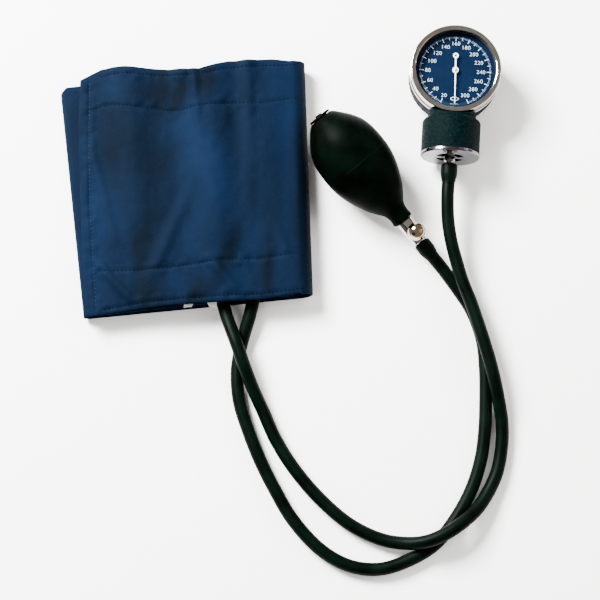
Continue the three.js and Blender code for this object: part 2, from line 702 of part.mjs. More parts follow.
function inletFlap() {
  const from = INLET_STEM_LENGTH - INLET_ROOM_DEPTH + SEAT_GAP;
  return bar(INLET_FLAP_RADIUS, from, from + INLET_FLAP_THICKNESS, ROUND_SIDES);
}

function bulb() {
  return alongBulb(
    piece('rubber_bulb', rubberBulb(), BLACK_RUBBER),
    piece('inlet_valve_body', inletBody(), DULL_RUBBER),
    piece('inlet_valve_flap', inletFlap(), DULL_RUBBER),
    piece('inlet_valve_cage', inletCage(), STEEL),
  );
}

// Stations of the release valve along the bulb's axis
const VALVE_START = BULB_LENGTH + SEAT_GAP;
const VALVE_END = VALVE_START + VALVE_LENGTH;
const VALVE_COLLAR_START = VALVE_END + SEAT_GAP;
const CHECK_BALL_SINK = Math.sqrt(CHECK_BALL_RADIUS ** 2 - CHECK_SEAT_BORE ** 2);
const CHECK_BALL_PLACE = VALVE_START - SPIGOT_LENGTH + CHECK_SEAT_LENGTH + CHECK_BALL_SINK + SEAT_GAP / 2;
const CHECK_ROOM_END = CHECK_BALL_PLACE + CHECK_BALL_RADIUS + CHECK_LIFT + SEAT_GAP;

// Levels of the release valve above its own axis
const PAD_BASE = RELIEF_SEAT_HEIGHT + SEAT_GAP;
const SCREW_END = PAD_BASE + PAD_THICKNESS + SEAT_GAP;
const KNOB_BASE = BOSS_TOP + SEAT_GAP;
const SEAL_POCKET_RADIUS = SEAL_RADIUS + SEAT_GAP;

// A piece turned round the screw's axis, which stands on the valve's axis and points up
function onScrew(geometry) {
  return geometry.rotateY(Math.PI / 2).translate(0, 0, VALVE_START + BOSS_PLACE);
}

function valveBody() {
  const spigotStart = VALVE_START - SPIGOT_LENGTH;
  const spigotEnd = VALVE_END + BARB_LENGTH;
  const grip = (count) => spigotStart + count * SPIGOT_LENGTH / 5;
  const shell = turned([
    [0, spigotStart], [SPIGOT_RADIUS - SMALL_CHAMFER, spigotStart], [SPIGOT_RADIUS, grip(1)],
    [SPIGOT_RADIUS - SMALL_CHAMFER, grip(2)], [SPIGOT_RADIUS, grip(3)],
    [SPIGOT_RADIUS - SMALL_CHAMFER, VALVE_START], [VALVE_RADIUS - EDGE_CHAMFER, VALVE_START],
    [VALVE_RADIUS, VALVE_START + EDGE_CHAMFER], [VALVE_RADIUS, VALVE_END - EDGE_CHAMFER],
    [VALVE_RADIUS - EDGE_CHAMFER, VALVE_END], ...barbs(VALVE_END), [0, spigotEnd],
  ], ROUND_SIDES);
  const boss = onScrew(bar(SEAL_POCKET_RADIUS + BOSS_WALL, 0, BOSS_TOP, ROUND_SIDES));
  const sealPocket = BOSS_TOP - SEAL_THICKNESS - SEAT_GAP;
  return cut(
    joined(shell, boss),
    bar(VALVE_BORE, spigotStart - OVERRUN, spigotEnd + OVERRUN, SMALL_SIDES),
    bar(CHECK_ROOM_RADIUS, spigotStart - OVERRUN, CHECK_ROOM_END, ROUND_SIDES),
    onScrew(bar(RELIEF_SEAT_BORE, 0, RELIEF_SEAT_HEIGHT + OVERRUN, SMALL_SIDES)),
    onScrew(bar(SCREW_RADIUS + SEAT_GAP, RELIEF_SEAT_HEIGHT, BOSS_TOP + OVERRUN, ROUND_SIDES)),
    onScrew(bar(SEAL_POCKET_RADIUS, sealPocket, BOSS_TOP + OVERRUN, ROUND_SIDES)),
    ventDrill(),
  );
}

// The vent is drilled sideways out of the room under the screw
function ventDrill() {
  const height = PAD_BASE + RELIEF_VENT;
  const drill = bar(RELIEF_VENT, 0, VALVE_RADIUS * 2, SMALL_SIDES);
  return onScrew(drill.rotateX(Math.PI / 2).translate(0, 0, height));
}

function checkSeat() {
  const from = VALVE_START - SPIGOT_LENGTH;
  const outer = CHECK_ROOM_RADIUS - SEAT_GAP;
  return ring(CHECK_SEAT_BORE, outer, from, from + CHECK_SEAT_LENGTH, ROUND_SIDES);
}

function checkBall() {
  const ball = new THREE.SphereGeometry(CHECK_BALL_RADIUS, SMALL_SIDES, 10).rotateX(Math.PI / 2);
  return closed(ball.translate(0, 0, CHECK_BALL_PLACE));
}

function thumbScrew() {
  const domeCentre = KNOB_BASE + KNOB_SKIRT;
  const dome = arc([0, domeCentre], KNOB_RADIUS, 0, 90, 7);
  return onScrew(turned([
    [0, SCREW_END], [SCREW_RADIUS - SMALL_CHAMFER, SCREW_END], [SCREW_RADIUS, SCREW_END + SMALL_CHAMFER],
    [SCREW_RADIUS, KNOB_BASE], [KNOB_FOOT_RADIUS, KNOB_BASE],
    [KNOB_RADIUS - SMALL_CHAMFER, KNOB_BASE + KNOB_FLARE],
    ...dome.slice(0, -1), [0, domeCentre + KNOB_RADIUS],
  ], ROUND_SIDES));
}

function reliefPad() {
  return onScrew(bar(PAD_RADIUS, PAD_BASE, PAD_BASE + PAD_THICKNESS, SMALL_SIDES));
}

function screwSeal() {
  const from = BOSS_TOP - SEAL_THICKNESS;
  return onScrew(ring(SCREW_RADIUS + SEAT_GAP, SEAL_RADIUS, from, BOSS_TOP, ROUND_SIDES));
}

function releaseValve() {
  return alongBulb(
    piece('release_valve_body', valveBody(), CHROME),
    piece('check_valve_seat', checkSeat(), BRASS),
    piece('check_valve_ball', checkBall(), STEEL),
    piece('thumb_screw', thumbScrew(), CHROME),
    piece('relief_pad', reliefPad(), DULL_RUBBER),
    piece('screw_seal', screwSeal(), DULL_RUBBER),
    piece('bulb_tube_end', stretchedEnd(VALVE_COLLAR_START), BLACK_RUBBER),
  );
}

// Radii of the gauge, all measured in or out from its bezel
const CASE_RADIUS = BEZEL_RADIUS + CASE_STEP;
const FLANGE_RADIUS = BEZEL_RADIUS + FLANGE_STEP;
const FLANGE_BORE = FLANGE_RADIUS - FLANGE_WIDTH;
const WINDOW_RADIUS = BEZEL_RADIUS - BEZEL_FACE;
const SPACER_BORE = WINDOW_RADIUS - SPACER_STEP;

// Height of the neck's axis: the end cap is its widest piece and touches the table
const NECK_Z = Math.max(CAP_RADIUS, DRUM_RADIUS);

// Heights of the case rim and the movement, set from the neck's axis, along which the rod pushes
const CASE_RIM = NECK_Z + RIM_RISE;
const BOTTOM_PLATE_Z = NECK_Z - BOTTOM_PLATE_DROP;
const TOP_PLATE_Z = NECK_Z + TOP_PLATE_RISE;
const SECTOR_Z = NECK_Z - SECTOR_DROP;
const SPRING_Z = NECK_Z - SPRING_DROP;

// Heights of the stack in the gauge's window, from the case rim upwards
const FLANGE_Z = CASE_RIM + SEAT_GAP;
const DIAL_Z = FLANGE_Z + FLANGE_THICKNESS + SEAT_GAP;
const DIAL_FACE = DIAL_Z + DIAL_THICKNESS;
const SPACER_Z = DIAL_FACE + SEAT_GAP;
const CRYSTAL_Z = SPACER_Z + SPACER_HEIGHT + SEAT_GAP;
const BEZEL_LIP_Z = CRYSTAL_Z + CRYSTAL_THICKNESS + SEAT_GAP;
const BEZEL_TOP = BEZEL_LIP_Z + BEZEL_LIP;
const WINDOW_STACK_RADIUS = BEZEL_RADIUS - BEZEL_WALL - SEAT_GAP;

// Stations of the gauge's neck, measured from the dial's axis towards the tube
const WAIST_START = CASE_RADIUS - WAIST_OVERLAP;
const DRUM_START = CASE_RADIUS + WAIST_LENGTH;
const DRUM_END = DRUM_START + DRUM_LENGTH;
const CAPSULE_FRONT = DRUM_START + DRUM_WEB + CAPSULE_ROOM;
const CAP_START = DRUM_END + SEAT_GAP;
const CAP_FACE = CAP_START + CAP_THICKNESS;
const NIPPLE_START = CAP_FACE + SEAT_GAP;
const NIPPLE_NECK_END = NIPPLE_START + NIPPLE_COLLAR_LENGTH + NIPPLE_NECK_LENGTH;

// Turns a piece made round Z onto the neck's axis. Stations then run from the dial to the tube.
function alongNeck(geometry) {
  return geometry.rotateX(Math.PI / 2).translate(0, 0, NECK_Z);
}

function gaugeCase() {
  const flat = CASE_RADIUS - CASE_ROUNDING;
  const outerBend = arc([flat, CASE_ROUNDING], CASE_ROUNDING, -90, 0, 5);
  const innerBend = arc([flat, CASE_ROUNDING], CASE_ROUNDING - CASE_WALL, -90, 0, 5);
  const bowl = turned([[0, 0], ...outerBend, [CASE_RADIUS, CASE_RIM], [0, CASE_RIM]], FINE_SIDES);
  const hollow = turned(
    [[0, CASE_WALL], ...innerBend, [CASE_RADIUS - CASE_WALL, CASE_RIM + OVERRUN], [0, CASE_RIM + OVERRUN]],
    FINE_SIDES,
  );
  const shoulder = arc([DRUM_RADIUS - DRUM_FILLET, DRUM_START + DRUM_FILLET], DRUM_FILLET, -90, 0, 4);
  const drum = turned([[0, DRUM_START], ...shoulder, [DRUM_RADIUS, DRUM_END], [0, DRUM_END]], FINE_SIDES);
  const webEnd = DRUM_START + DRUM_WEB;
  const drumHollow = bar(DRUM_RADIUS - DRUM_WALL, webEnd, DRUM_END + OVERRUN, FINE_SIDES);
  const waist = bar(WAIST_RADIUS, WAIST_START, DRUM_START + OVERRUN, FINE_SIDES);
  const guide = bar(ROD_RADIUS + ROD_GUIDE, WAIST_START - OVERRUN, webEnd + OVERRUN, SMALL_SIDES);
  const flangeRoom = bar(FLANGE_RADIUS + SEAT_GAP, CASE_RIM, NECK_Z * 2, FINE_SIDES);
  const posts = PILLAR_PLACES.map((place) => (
    bar(POST_RADIUS, CASE_WALL / 2, BOTTOM_PLATE_Z - SEAT_GAP, SMALL_SIDES, place)
  ));
  const shell = cut(
    joined(bowl, alongNeck(waist)),
    flangeRoom,
    hollow,
  );
  const body = cut(joined(shell, alongNeck(drum)), alongNeck(drumHollow), alongNeck(guide));
  return joined(body, ...posts);
}

function flangeRing() {
  const top = FLANGE_Z + FLANGE_THICKNESS;
  return turned([
    [FLANGE_BORE, FLANGE_Z], [FLANGE_RADIUS, FLANGE_Z], [FLANGE_RADIUS, top - EDGE_CHAMFER],
    [FLANGE_RADIUS - EDGE_CHAMFER, top], [FLANGE_BORE, top],
  ], FINE_SIDES);
}

function bezel() {
  const inner = BEZEL_RADIUS - BEZEL_WALL;
  const bend = [BEZEL_RADIUS - BEZEL_ROUNDING, BEZEL_TOP - BEZEL_ROUNDING];
  return turned([
    [inner, DIAL_Z], [BEZEL_RADIUS, DIAL_Z], ...arc(bend, BEZEL_ROUNDING, 0, 90, 2),
    [WINDOW_RADIUS + SMALL_CHAMFER, BEZEL_TOP], [WINDOW_RADIUS, BEZEL_TOP - SMALL_CHAMFER],
    [WINDOW_RADIUS, BEZEL_LIP_Z], [inner, BEZEL_LIP_Z],
  ], FINE_SIDES);
}

function endCap() {
  const spigotOuter = DRUM_RADIUS - DRUM_WALL - SEAT_GAP;
  const spigotInner = spigotOuter - CAP_THICKNESS / 2;
  const disc = turned([
    [CAP_HOLE, CAP_START], [spigotInner, CAP_START], [spigotInner, CAP_START - CAP_SPIGOT],
    [spigotOuter, CAP_START - CAP_SPIGOT], [spigotOuter, CAP_START], [CAP_RADIUS, CAP_START],
    [CAP_RADIUS, CAP_FACE - EDGE_CHAMFER], [CAP_RADIUS - EDGE_CHAMFER, CAP_FACE], [CAP_HOLE, CAP_FACE],
  ], FINE_SIDES);
  const windows = [];
  for (let index = 0; index < CAP_WINDOWS; index += 1) {
    const middle = (index + 0.5) * 360 / CAP_WINDOWS;
    const [from, to] = [middle - CAP_WINDOW_SWEEP / 2, middle + CAP_WINDOW_SWEEP / 2];
    const outer = arc([0, 0], CAP_WINDOW_OUTER, from, to, 4);
    const inner = arc([0, 0], CAP_WINDOW_INNER, to, from, 3);
    windows.push(plate(outline([...outer, ...inner]), CAP_START - OVERRUN, CAP_FACE + OVERRUN));
  }
  return alongNeck(cut(disc, ...windows));
}

function hoseNipple() {
  const collarEnd = NIPPLE_START + NIPPLE_COLLAR_LENGTH;
  return alongNeck(turned([
    [NIPPLE_BORE, NIPPLE_START - NIPPLE_REACH], [NIPPLE_SHANK_RADIUS, NIPPLE_START - NIPPLE_REACH],
    [NIPPLE_SHANK_RADIUS, NIPPLE_START], [NIPPLE_COLLAR_RADIUS, NIPPLE_START],
    [NIPPLE_COLLAR_RADIUS, collarEnd], [NIPPLE_NECK_RADIUS, collarEnd + SMALL_CHAMFER],
    [NIPPLE_NECK_RADIUS, NIPPLE_NECK_END - SMALL_CHAMFER], ...barbs(NIPPLE_NECK_END),
    [NIPPLE_BORE, NIPPLE_NECK_END + BARB_LENGTH],
  ], ROUND_SIDES));
}

// The capsule is two waved discs joined at the rim, with a hub that opens to the nipple
function capsule() {
  const waves = CAPSULE_RINGS;
  const middle = CAPSULE_FRONT + CAPSULE_DEPTH / 2;
  const half = CAPSULE_DEPTH / 2;
  const face = (inset) => {
    const points = [];
    for (let index = waves; index > 0; index -= 1) {
      const radius = (CAPSULE_RADIUS - inset) * index / (waves + 0.5);
      const wave = index % 2 ? 0 : CAPSULE_WAVE;
      points.push([radius, half - inset - wave]);
    }
    return points;
  };
  const hubEnd = CAP_START - SEAT_GAP;
  const bore = NIPPLE_SHANK_RADIUS + SEAT_GAP;
  const ahead = (points) => points.map(([radius, out]) => [radius, middle - out]);
  const behind = (points, from) => (
    points.filter(([radius]) => radius > from + OVERRUN).map(([radius, out]) => [radius, middle + out])
  );
  return alongNeck(turned([
    [0, CAPSULE_FRONT], ...ahead(face(0)).reverse(), [CAPSULE_RADIUS, middle - CAPSULE_RIM],
    [CAPSULE_RADIUS, middle + CAPSULE_RIM], ...behind(face(0), CAPSULE_HUB_RADIUS),
    [CAPSULE_HUB_RADIUS, middle + half], [CAPSULE_HUB_RADIUS, hubEnd], [bore, hubEnd],
    [bore, middle + half - CAPSULE_WALL], ...behind(face(CAPSULE_WALL), bore).reverse(),
    [CAPSULE_RADIUS - CAPSULE_WALL * 2, middle], ...ahead(face(CAPSULE_WALL)),
    [0, CAPSULE_FRONT + CAPSULE_WALL],
  ], ROUND_SIDES));
}

// Gear sizes that follow from the module and the teeth
const PINION_PITCH_RADIUS = MODULE * PINION_TEETH / 2;
const SECTOR_PITCH_RADIUS = MODULE * SECTOR_WHEEL_TEETH / 2;
const CENTRE_DISTANCE = PINION_PITCH_RADIUS + SECTOR_PITCH_RADIUS;
const SECTOR_SWING = POINTER_SWEEP * PINION_TEETH / SECTOR_WHEEL_TEETH;
const ARBOR_PLACE = [-LEVER_REACH, -Math.sqrt(CENTRE_DISTANCE ** 2 - LEVER_REACH ** 2)];
const PLATE_RADIUS = CENTRE_DISTANCE + SECTOR_ARBOR_RADIUS + PIVOT_CLEARANCE + PLATE_MARGIN;
const MESH_ANGLE = THREE.MathUtils.radToDeg(Math.atan2(-ARBOR_PLACE[1], -ARBOR_PLACE[0]));
const LEVER_TURN = -SECTOR_SWING / 2;
const LEVER_Z = NECK_Z - LEVER_THICKNESS / 2;
const ROD_TIP = -ARBOR_PLACE[1] - LEVER_REACH * Math.tan(radians(LEVER_TURN))
  + LEVER_WIDTH / 2 / Math.cos(radians(LEVER_TURN)) + SEAT_GAP;

function tooth(radius, angle, rootHalf, tipHalf) {
  return [
    polar(radius - TOOTH_BELOW, angle - rootHalf), polar(radius + TOOTH_ABOVE, angle - tipHalf),
    polar(radius + TOOTH_ABOVE, angle + tipHalf), polar(radius - TOOTH_BELOW, angle + rootHalf),
  ];
}

function pinion() {
  const step = 360 / PINION_TEETH;
  const points = [];
  for (let index = 0; index < PINION_TEETH; index += 1) {
    const angle = MESH_ANGLE + 180 + index * step;
    points.push(...tooth(PINION_PITCH_RADIUS, angle, step * PINION_TOOTH.root, step * PINION_TOOTH.tip));
  }
  const leafStart = SECTOR_Z - (PINION_HEIGHT - SECTOR_THICKNESS) / 2;
  const leaf = plate(outline(points), leafStart, leafStart + PINION_HEIGHT);
  const arborStart = BOTTOM_PLATE_Z + SEAT_GAP;
  const arborEnd = DIAL_FACE + POINTER_LIFT + POINTER_HUB_HEIGHT;
  const colletStart = SPRING_Z - COLLET_MARGIN;
  const colletEnd = SPRING_Z + SPRING_STRIP[1] + COLLET_MARGIN;
  const arbor = turned([
    [0, arborStart], [ARBOR_RADIUS, arborStart], [ARBOR_RADIUS, colletStart], [COLLET_RADIUS, colletStart],
    [COLLET_RADIUS, colletEnd], [ARBOR_RADIUS, colletEnd], [ARBOR_RADIUS, arborEnd], [0, arborEnd],
  ], SMALL_SIDES);
  return joined(leaf, arbor);
}

function pointer() {
  const from = DIAL_FACE + POINTER_LIFT;
  const needleZ = from + POINTER_HUB_HEIGHT - POINTER_THICKNESS - POINTER_INSET;
  const half = POINTER_WIDTH / 2;
  const tip = half * POINTER_TIP_SHARE;
  const tailEnd = POINTER_TAIL - (TAIL_RING[0] + TAIL_RING[1]) / 2;
  const needle = plate(outline([
    [-half, 0], [-tip, -POINTER_LENGTH + half], [0, -POINTER_LENGTH], [tip, -POINTER_LENGTH + half],
    [half, 0], [half, tailEnd], [-half, tailEnd],
  ]), needleZ, needleZ + POINTER_THICKNESS);
  const tail = ring(TAIL_RING[1], TAIL_RING[0], needleZ, needleZ + POINTER_THICKNESS, ROUND_SIDES);
  const hub = bar(POINTER_HUB_RADIUS, from, from + POINTER_HUB_HEIGHT, ROUND_SIDES);
  const whole = joined(needle, tail.translate(0, POINTER_TAIL, 0), hub);
  const hubTop = from + POINTER_HUB_HEIGHT;
  const bore = bar(ARBOR_RADIUS + SEAT_GAP, from - OVERRUN, hubTop + OVERRUN, SMALL_SIDES);
  return cut(whole, bore).rotateZ(radians(DIAL_TURN));
}

function sectorGear() {
  const step = 360 / SECTOR_WHEEL_TEETH;
  const root = SECTOR_PITCH_RADIUS - TOOTH_BELOW;
  const points = [];
  for (let index = SECTOR_FIRST_TOOTH; index <= SECTOR_LAST_TOOTH; index += 1) {
    const angle = MESH_ANGLE + (index + 0.5) * step;
    points.push(...tooth(SECTOR_PITCH_RADIUS, angle, step * SECTOR_TOOTH.root, step * SECTOR_TOOTH.tip));
  }
  const from = MESH_ANGLE + SECTOR_FIRST_TOOTH * step;
  const to = MESH_ANGLE + (SECTOR_LAST_TOOTH + 1) * step;
  const wedge = outline([[0, 0], polar(root, from), ...points, polar(root, to)]);
  const top = SECTOR_Z + SECTOR_THICKNESS;
  const { start, spoke, foot } = SECTOR_WINDOW;
  const opening = outline([
    ...arc([0, 0], root - SECTOR_RIM, from + spoke, to - spoke, 5),
    ...arc([0, 0], root * start, to - foot, from + foot, 3),
  ]);
  const body = cut(
    joined(plate(wedge, SECTOR_Z, top), bar(POST_RADIUS, SECTOR_Z, top, SMALL_SIDES)),
    plate(opening, SECTOR_Z - OVERRUN, top + OVERRUN),
    bar(SECTOR_ARBOR_RADIUS + SEAT_GAP, SECTOR_Z - OVERRUN, top + OVERRUN, SMALL_SIDES),
  );
  return body.translate(ARBOR_PLACE[0], ARBOR_PLACE[1], 0);
}

function sectorArbor() {
  const from = BOTTOM_PLATE_Z + SEAT_GAP;
  const to = TOP_PLATE_Z + PLATE_THICKNESS - SEAT_GAP;
  return bar(SECTOR_ARBOR_RADIUS, from, to, SMALL_SIDES, ARBOR_PLACE);
}

function leverArm() {
  const top = LEVER_Z + LEVER_THICKNESS;
  const half = LEVER_WIDTH / 2;
  const arm = block([0, LEVER_REACH + LEVER_OVERHANG], [-half, half], [LEVER_Z, top]);
  const hub = bar(LEVER_HUB_RADIUS, LEVER_Z, top, SMALL_SIDES);
  const bore = bar(SECTOR_ARBOR_RADIUS + SEAT_GAP, LEVER_Z - OVERRUN, top + OVERRUN, SMALL_SIDES);
  const lever = cut(joined(arm, hub), bore).rotateZ(radians(LEVER_TURN));
  return lever.translate(ARBOR_PLACE[0], ARBOR_PLACE[1], 0);
}

function pushRod() {
  const foot = CAPSULE_FRONT - SEAT_GAP - ROD_FOOT_THICKNESS;
  return alongNeck(turned([
    ...arc([0, ROD_TIP + ROD_RADIUS], ROD_RADIUS, -90, 0, 3), [ROD_RADIUS, foot],
    [ROD_FOOT_RADIUS, foot], [ROD_FOOT_RADIUS, foot + ROD_FOOT_THICKNESS],
    [0, foot + ROD_FOOT_THICKNESS],
  ], SMALL_SIDES));
}

// Bearing holes for both arbors, through a plate between two heights
function bearingHoles(from, to) {
  const [low, high] = [from - OVERRUN, to + OVERRUN];
  return [
    bar(ARBOR_RADIUS + PIVOT_CLEARANCE, low, high, SMALL_SIDES),
    bar(SECTOR_ARBOR_RADIUS + PIVOT_CLEARANCE, low, high, SMALL_SIDES, ARBOR_PLACE),
  ];
}

function bottomPlate() {
  const top = BOTTOM_PLATE_Z + PLATE_THICKNESS;
  return cut(
    bar(PLATE_RADIUS, BOTTOM_PLATE_Z, top, FINE_SIDES),
    ...bearingHoles(BOTTOM_PLATE_Z, top),
  );
}

// The top plate is a bridge round the pillars and the sector's arbor. A stud under it holds the
// hairspring's outer end.
function topPlate() {
  const top = TOP_PLATE_Z + PLATE_THICKNESS;
  const corners = [PILLAR_PLACES[1], PILLAR_PLACES[0], ARBOR_PLACE, PILLAR_PLACES[2]];
  const rim = [];
  corners.forEach((corner, index) => {
    const before = corners[(index + corners.length - 1) % corners.length];
    const after = corners[(index + 1) % corners.length];
    const facing = (a, b) => THREE.MathUtils.radToDeg(Math.atan2(b[1] - a[1], b[0] - a[0]));
    const start = facing(before, corner) - 90;
    const end = facing(corner, after) - 90;
    rim.push(...arc(corner, BRIDGE_MARGIN, start, end < start ? end + 360 : end, 3));
  });
  const screwHoles = PILLAR_PLACES.map((place) => (
    bar(PLATE_SCREW_RADIUS + SEAT_GAP, TOP_PLATE_Z - OVERRUN, top + OVERRUN, SMALL_SIDES, place)
  ));
  const studStart = SPRING_Z + SPRING_STRIP[1] + SEAT_GAP;
  const stud = bar(STUD_RADIUS, studStart, TOP_PLATE_Z + PLATE_THICKNESS / 2, SMALL_SIDES, springEnd());
  return cut(
    joined(plate(outline(rim), TOP_PLATE_Z, top), stud),
    ...bearingHoles(TOP_PLATE_Z, top),
    ...screwHoles,
  );
}

function springEnd() {
  return polar(SPRING_OUTER, SPRING_TURNS * 360);
}

// The hairspring is a flat spiral strip from the collet to the stud
function hairspring() {
  const steps = Math.round(SPRING_TURNS * 14);
  const edge = (offset) => {
    const points = [];
    for (let step = 0; step <= steps; step += 1) {
      const share = step / steps;
      points.push(polar(mix(SPRING_INNER, SPRING_OUTER, share) + offset, share * SPRING_TURNS * 360));
    }
    return points;
  };
  const half = SPRING_STRIP[0] / 2;
  const strip = outline([...edge(half), ...edge(-half).reverse()]);
  return plate(strip, SPRING_Z, SPRING_Z + SPRING_STRIP[1]);
}

function pillar(place) {
  const from = BOTTOM_PLATE_Z + PLATE_THICKNESS + SEAT_GAP;
  const to = TOP_PLATE_Z - SEAT_GAP;
  const boreStart = to - PLATE_SCREW_LENGTH;
  const bore = bar(PLATE_SCREW_RADIUS + SEAT_GAP, boreStart, to + OVERRUN, SMALL_SIDES, place);
  return cut(bar(PILLAR_RADIUS, from, to, SMALL_SIDES, place), bore);
}

function plateScrew(place) {
  const headFrom = TOP_PLATE_Z + PLATE_THICKNESS + SEAT_GAP;
  const headTop = headFrom + PLATE_SCREW_HEAD_HEIGHT;
  return turned([
    [0, headFrom - PLATE_SCREW_LENGTH], [PLATE_SCREW_RADIUS, headFrom - PLATE_SCREW_LENGTH],
    [PLATE_SCREW_RADIUS, headFrom], [PLATE_SCREW_HEAD, headFrom], [PLATE_SCREW_HEAD, headTop],
    [0, headTop + PLATE_SCREW_CROWN],
  ], SMALL_SIDES).translate(place[0], place[1], 0);
}

function movement() {
  const pillars = PILLAR_PLACES.map((place, index) => (
    piece(`movement_pillar_${index + 1}`, pillar(place), BRASS)
  ));
  const screws = PILLAR_PLACES.map((place, index) => (
    piece(`plate_screw_${index + 1}`, plateScrew(place), STEEL)
  ));
  return assembly(
    piece('movement_bottom_plate', bottomPlate(), BRASS),
    piece('movement_top_plate', topPlate(), BRASS),
    piece('pinion', pinion(), BRASS),
    piece('sector_gear', sectorGear(), BRASS),
    piece('sector_arbor', sectorArbor(), STEEL),
    piece('lever_arm', leverArm(), STEEL),
    piece('push_rod', pushRod(), STEEL),
    piece('hairspring', hairspring(), STEEL),
    ...pillars,
    ...screws,
  );
}

function dialPlate() {
  const radius = ARBOR_RADIUS + PIVOT_CLEARANCE * 2;
  const hole = bar(radius, DIAL_Z - OVERRUN, DIAL_FACE + OVERRUN, SMALL_SIDES);
  return cut(bar(WINDOW_STACK_RADIUS, DIAL_Z, DIAL_FACE, FINE_SIDES), hole);
}

function gauge() {
  const spacerTop = SPACER_Z + SPACER_HEIGHT;
  const spacer = ring(SPACER_BORE, WINDOW_STACK_RADIUS, SPACER_Z, spacerTop, FINE_SIDES);
  const crystal = bar(WINDOW_STACK_RADIUS, CRYSTAL_Z, CRYSTAL_Z + CRYSTAL_THICKNESS, FINE_SIDES);
  const group = assembly(
    piece('gauge_case', gaugeCase(), WRINKLE_PAINT),
    piece('flange_ring', flangeRing(), CHROME),
    piece('bezel', bezel(), CHROME),
    piece('crystal', crystal, CLEAR_GLASS),
    piece('spacer_ring', spacer, DARK_RING),
    piece('dial_plate', dialPlate(), DIAL_BLUE),
    piece('pointer', pointer(), POINTER_WHITE),
    piece('end_cap', endCap(), CHROME),
    piece('hose_nipple', hoseNipple(), CHROME),
    piece('diaphragm_capsule', capsule(), BRASS),
    piece('gauge_tube_end', alongNeck(stretchedEnd(NIPPLE_NECK_END + SEAT_GAP)), BLACK_RUBBER),
    movement(),
  );
  group.rotation.z = -radians(GAUGE_LEAN);
  group.position.set(GAUGE_PLACE[0], GAUGE_PLACE[1], 0);
  return group;
}

// Where a tube starts and ends: a face and the direction that the tube leaves it in
function gaugeSocket() {
  const station = NIPPLE_NECK_END + SEAT_GAP + COLLAR_LENGTH + SEAT_GAP;
  const aim = outwards(-GAUGE_LEAN);
  const face = new THREE.Vector3(GAUGE_PLACE[0], GAUGE_PLACE[1], NECK_Z).addScaledVector(aim, station);
  return { face, aim };
}

function valveSocket() {
  const station = VALVE_COLLAR_START + COLLAR_LENGTH + SEAT_GAP;
  const start = new THREE.Vector3(BULB_PLACE[0], BULB_PLACE[1], bulbHeight());
  return { face: start.addScaledVector(bulbAxis, station), aim: bulbAxis };
}

// A tube leaves each face straight for one diameter and follows its route in between
function tube(from, route, to) {
  const start = from.face.clone().addScaledVector(from.aim, SEAT_GAP);
  const path = new THREE.CatmullRomCurve3([
    start, start.clone().addScaledVector(from.aim, TUBE_RADIUS),
    ...route.map((point) => new THREE.Vector3(...point)),
    to.face.clone().addScaledVector(to.aim, TUBE_RADIUS * 2), to.face,
  ], false, 'centripetal');
  const section = outline(arc([0, 0], TUBE_RADIUS, 0, 360 - 360 / TUBE_SIDES, TUBE_SIDES - 1));
  const options = { steps: TUBE_STEPS, extrudePath: path, bevelEnabled: false };
  return closed(new THREE.ExtrudeGeometry(section, options));
}

function tubes() {
  const gaugePort = portPlace(GAUGE_PORT_FACE, GAUGE_PORT_TURN);
  const bulbPort = portPlace(BULB_PORT_FACE, BULB_PORT_TURN);
  return assembly(
    piece('gauge_tube', tube(gaugePort, GAUGE_TUBE_ROUTE, gaugeSocket()), BLACK_RUBBER),
    piece('bulb_tube', tube(bulbPort, BULB_TUBE_ROUTE, valveSocket()), BLACK_RUBBER),
  );
}

const sphygmomanometer = assembly(cuff(), bladder(), tubes(), bulb(), releaseValve(), gauge());
sphygmomanometer.position.set(-KIT_MIDDLE[0], -KIT_MIDDLE[1], 0);

export default sphygmomanometer;
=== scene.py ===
"""Dresses an aneroid blood pressure kit that lies on a table: cuff, bladder, tubes, bulb and gauge.

Sizes are millimetres in the classes and metres in the finished meshes. Places on the table are
measured from the middle of the view, and `on_table` brings them into the shared frame.
"""

import logging
import math
from dataclasses import dataclass, field
from enum import Enum
from typing import Callable, Iterable, Sequence

import bmesh
import bpy
from bmesh.types import BMesh
from bpy.types import ID, Material, Mesh, Node, NodeSocket, Object
from mathutils import Matrix, Vector, noise


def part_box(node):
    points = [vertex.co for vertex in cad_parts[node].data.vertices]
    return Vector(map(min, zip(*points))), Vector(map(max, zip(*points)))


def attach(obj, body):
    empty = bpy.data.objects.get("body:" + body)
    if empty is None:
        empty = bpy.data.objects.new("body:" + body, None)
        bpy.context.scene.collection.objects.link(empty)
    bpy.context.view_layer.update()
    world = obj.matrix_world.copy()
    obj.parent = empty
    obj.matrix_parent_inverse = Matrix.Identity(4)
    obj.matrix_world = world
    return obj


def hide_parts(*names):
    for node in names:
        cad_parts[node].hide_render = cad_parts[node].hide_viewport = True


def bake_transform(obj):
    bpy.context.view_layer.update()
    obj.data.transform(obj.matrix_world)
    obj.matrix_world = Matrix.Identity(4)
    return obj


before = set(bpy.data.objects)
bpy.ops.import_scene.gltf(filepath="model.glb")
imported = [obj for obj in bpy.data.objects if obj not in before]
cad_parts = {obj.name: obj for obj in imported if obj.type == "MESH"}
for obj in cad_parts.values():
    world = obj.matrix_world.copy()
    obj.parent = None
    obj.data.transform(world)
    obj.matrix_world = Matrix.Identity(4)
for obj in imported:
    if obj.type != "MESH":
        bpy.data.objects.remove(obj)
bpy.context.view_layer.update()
log = logging.getLogger("blood_pressure_kit")

MM = 0.001
KIT_MIDDLE = Vector((-13.3, 77.0, 0.0))
# Point attribute of the cuff cloth that holds its painted light and painted shade.
PAINTED_SHADING_ATTRIBUTE = "fade"
UP = Vector((0, 0, 1))
RIGHT = Vector((1, 0, 0))
BLACK, WHITE = (0.0, 0.0, 0.0), (1.0, 1.0, 1.0)
Colour = tuple[float, float, float]
Point2 = tuple[float, float]
Point3 = tuple[float, float, float]


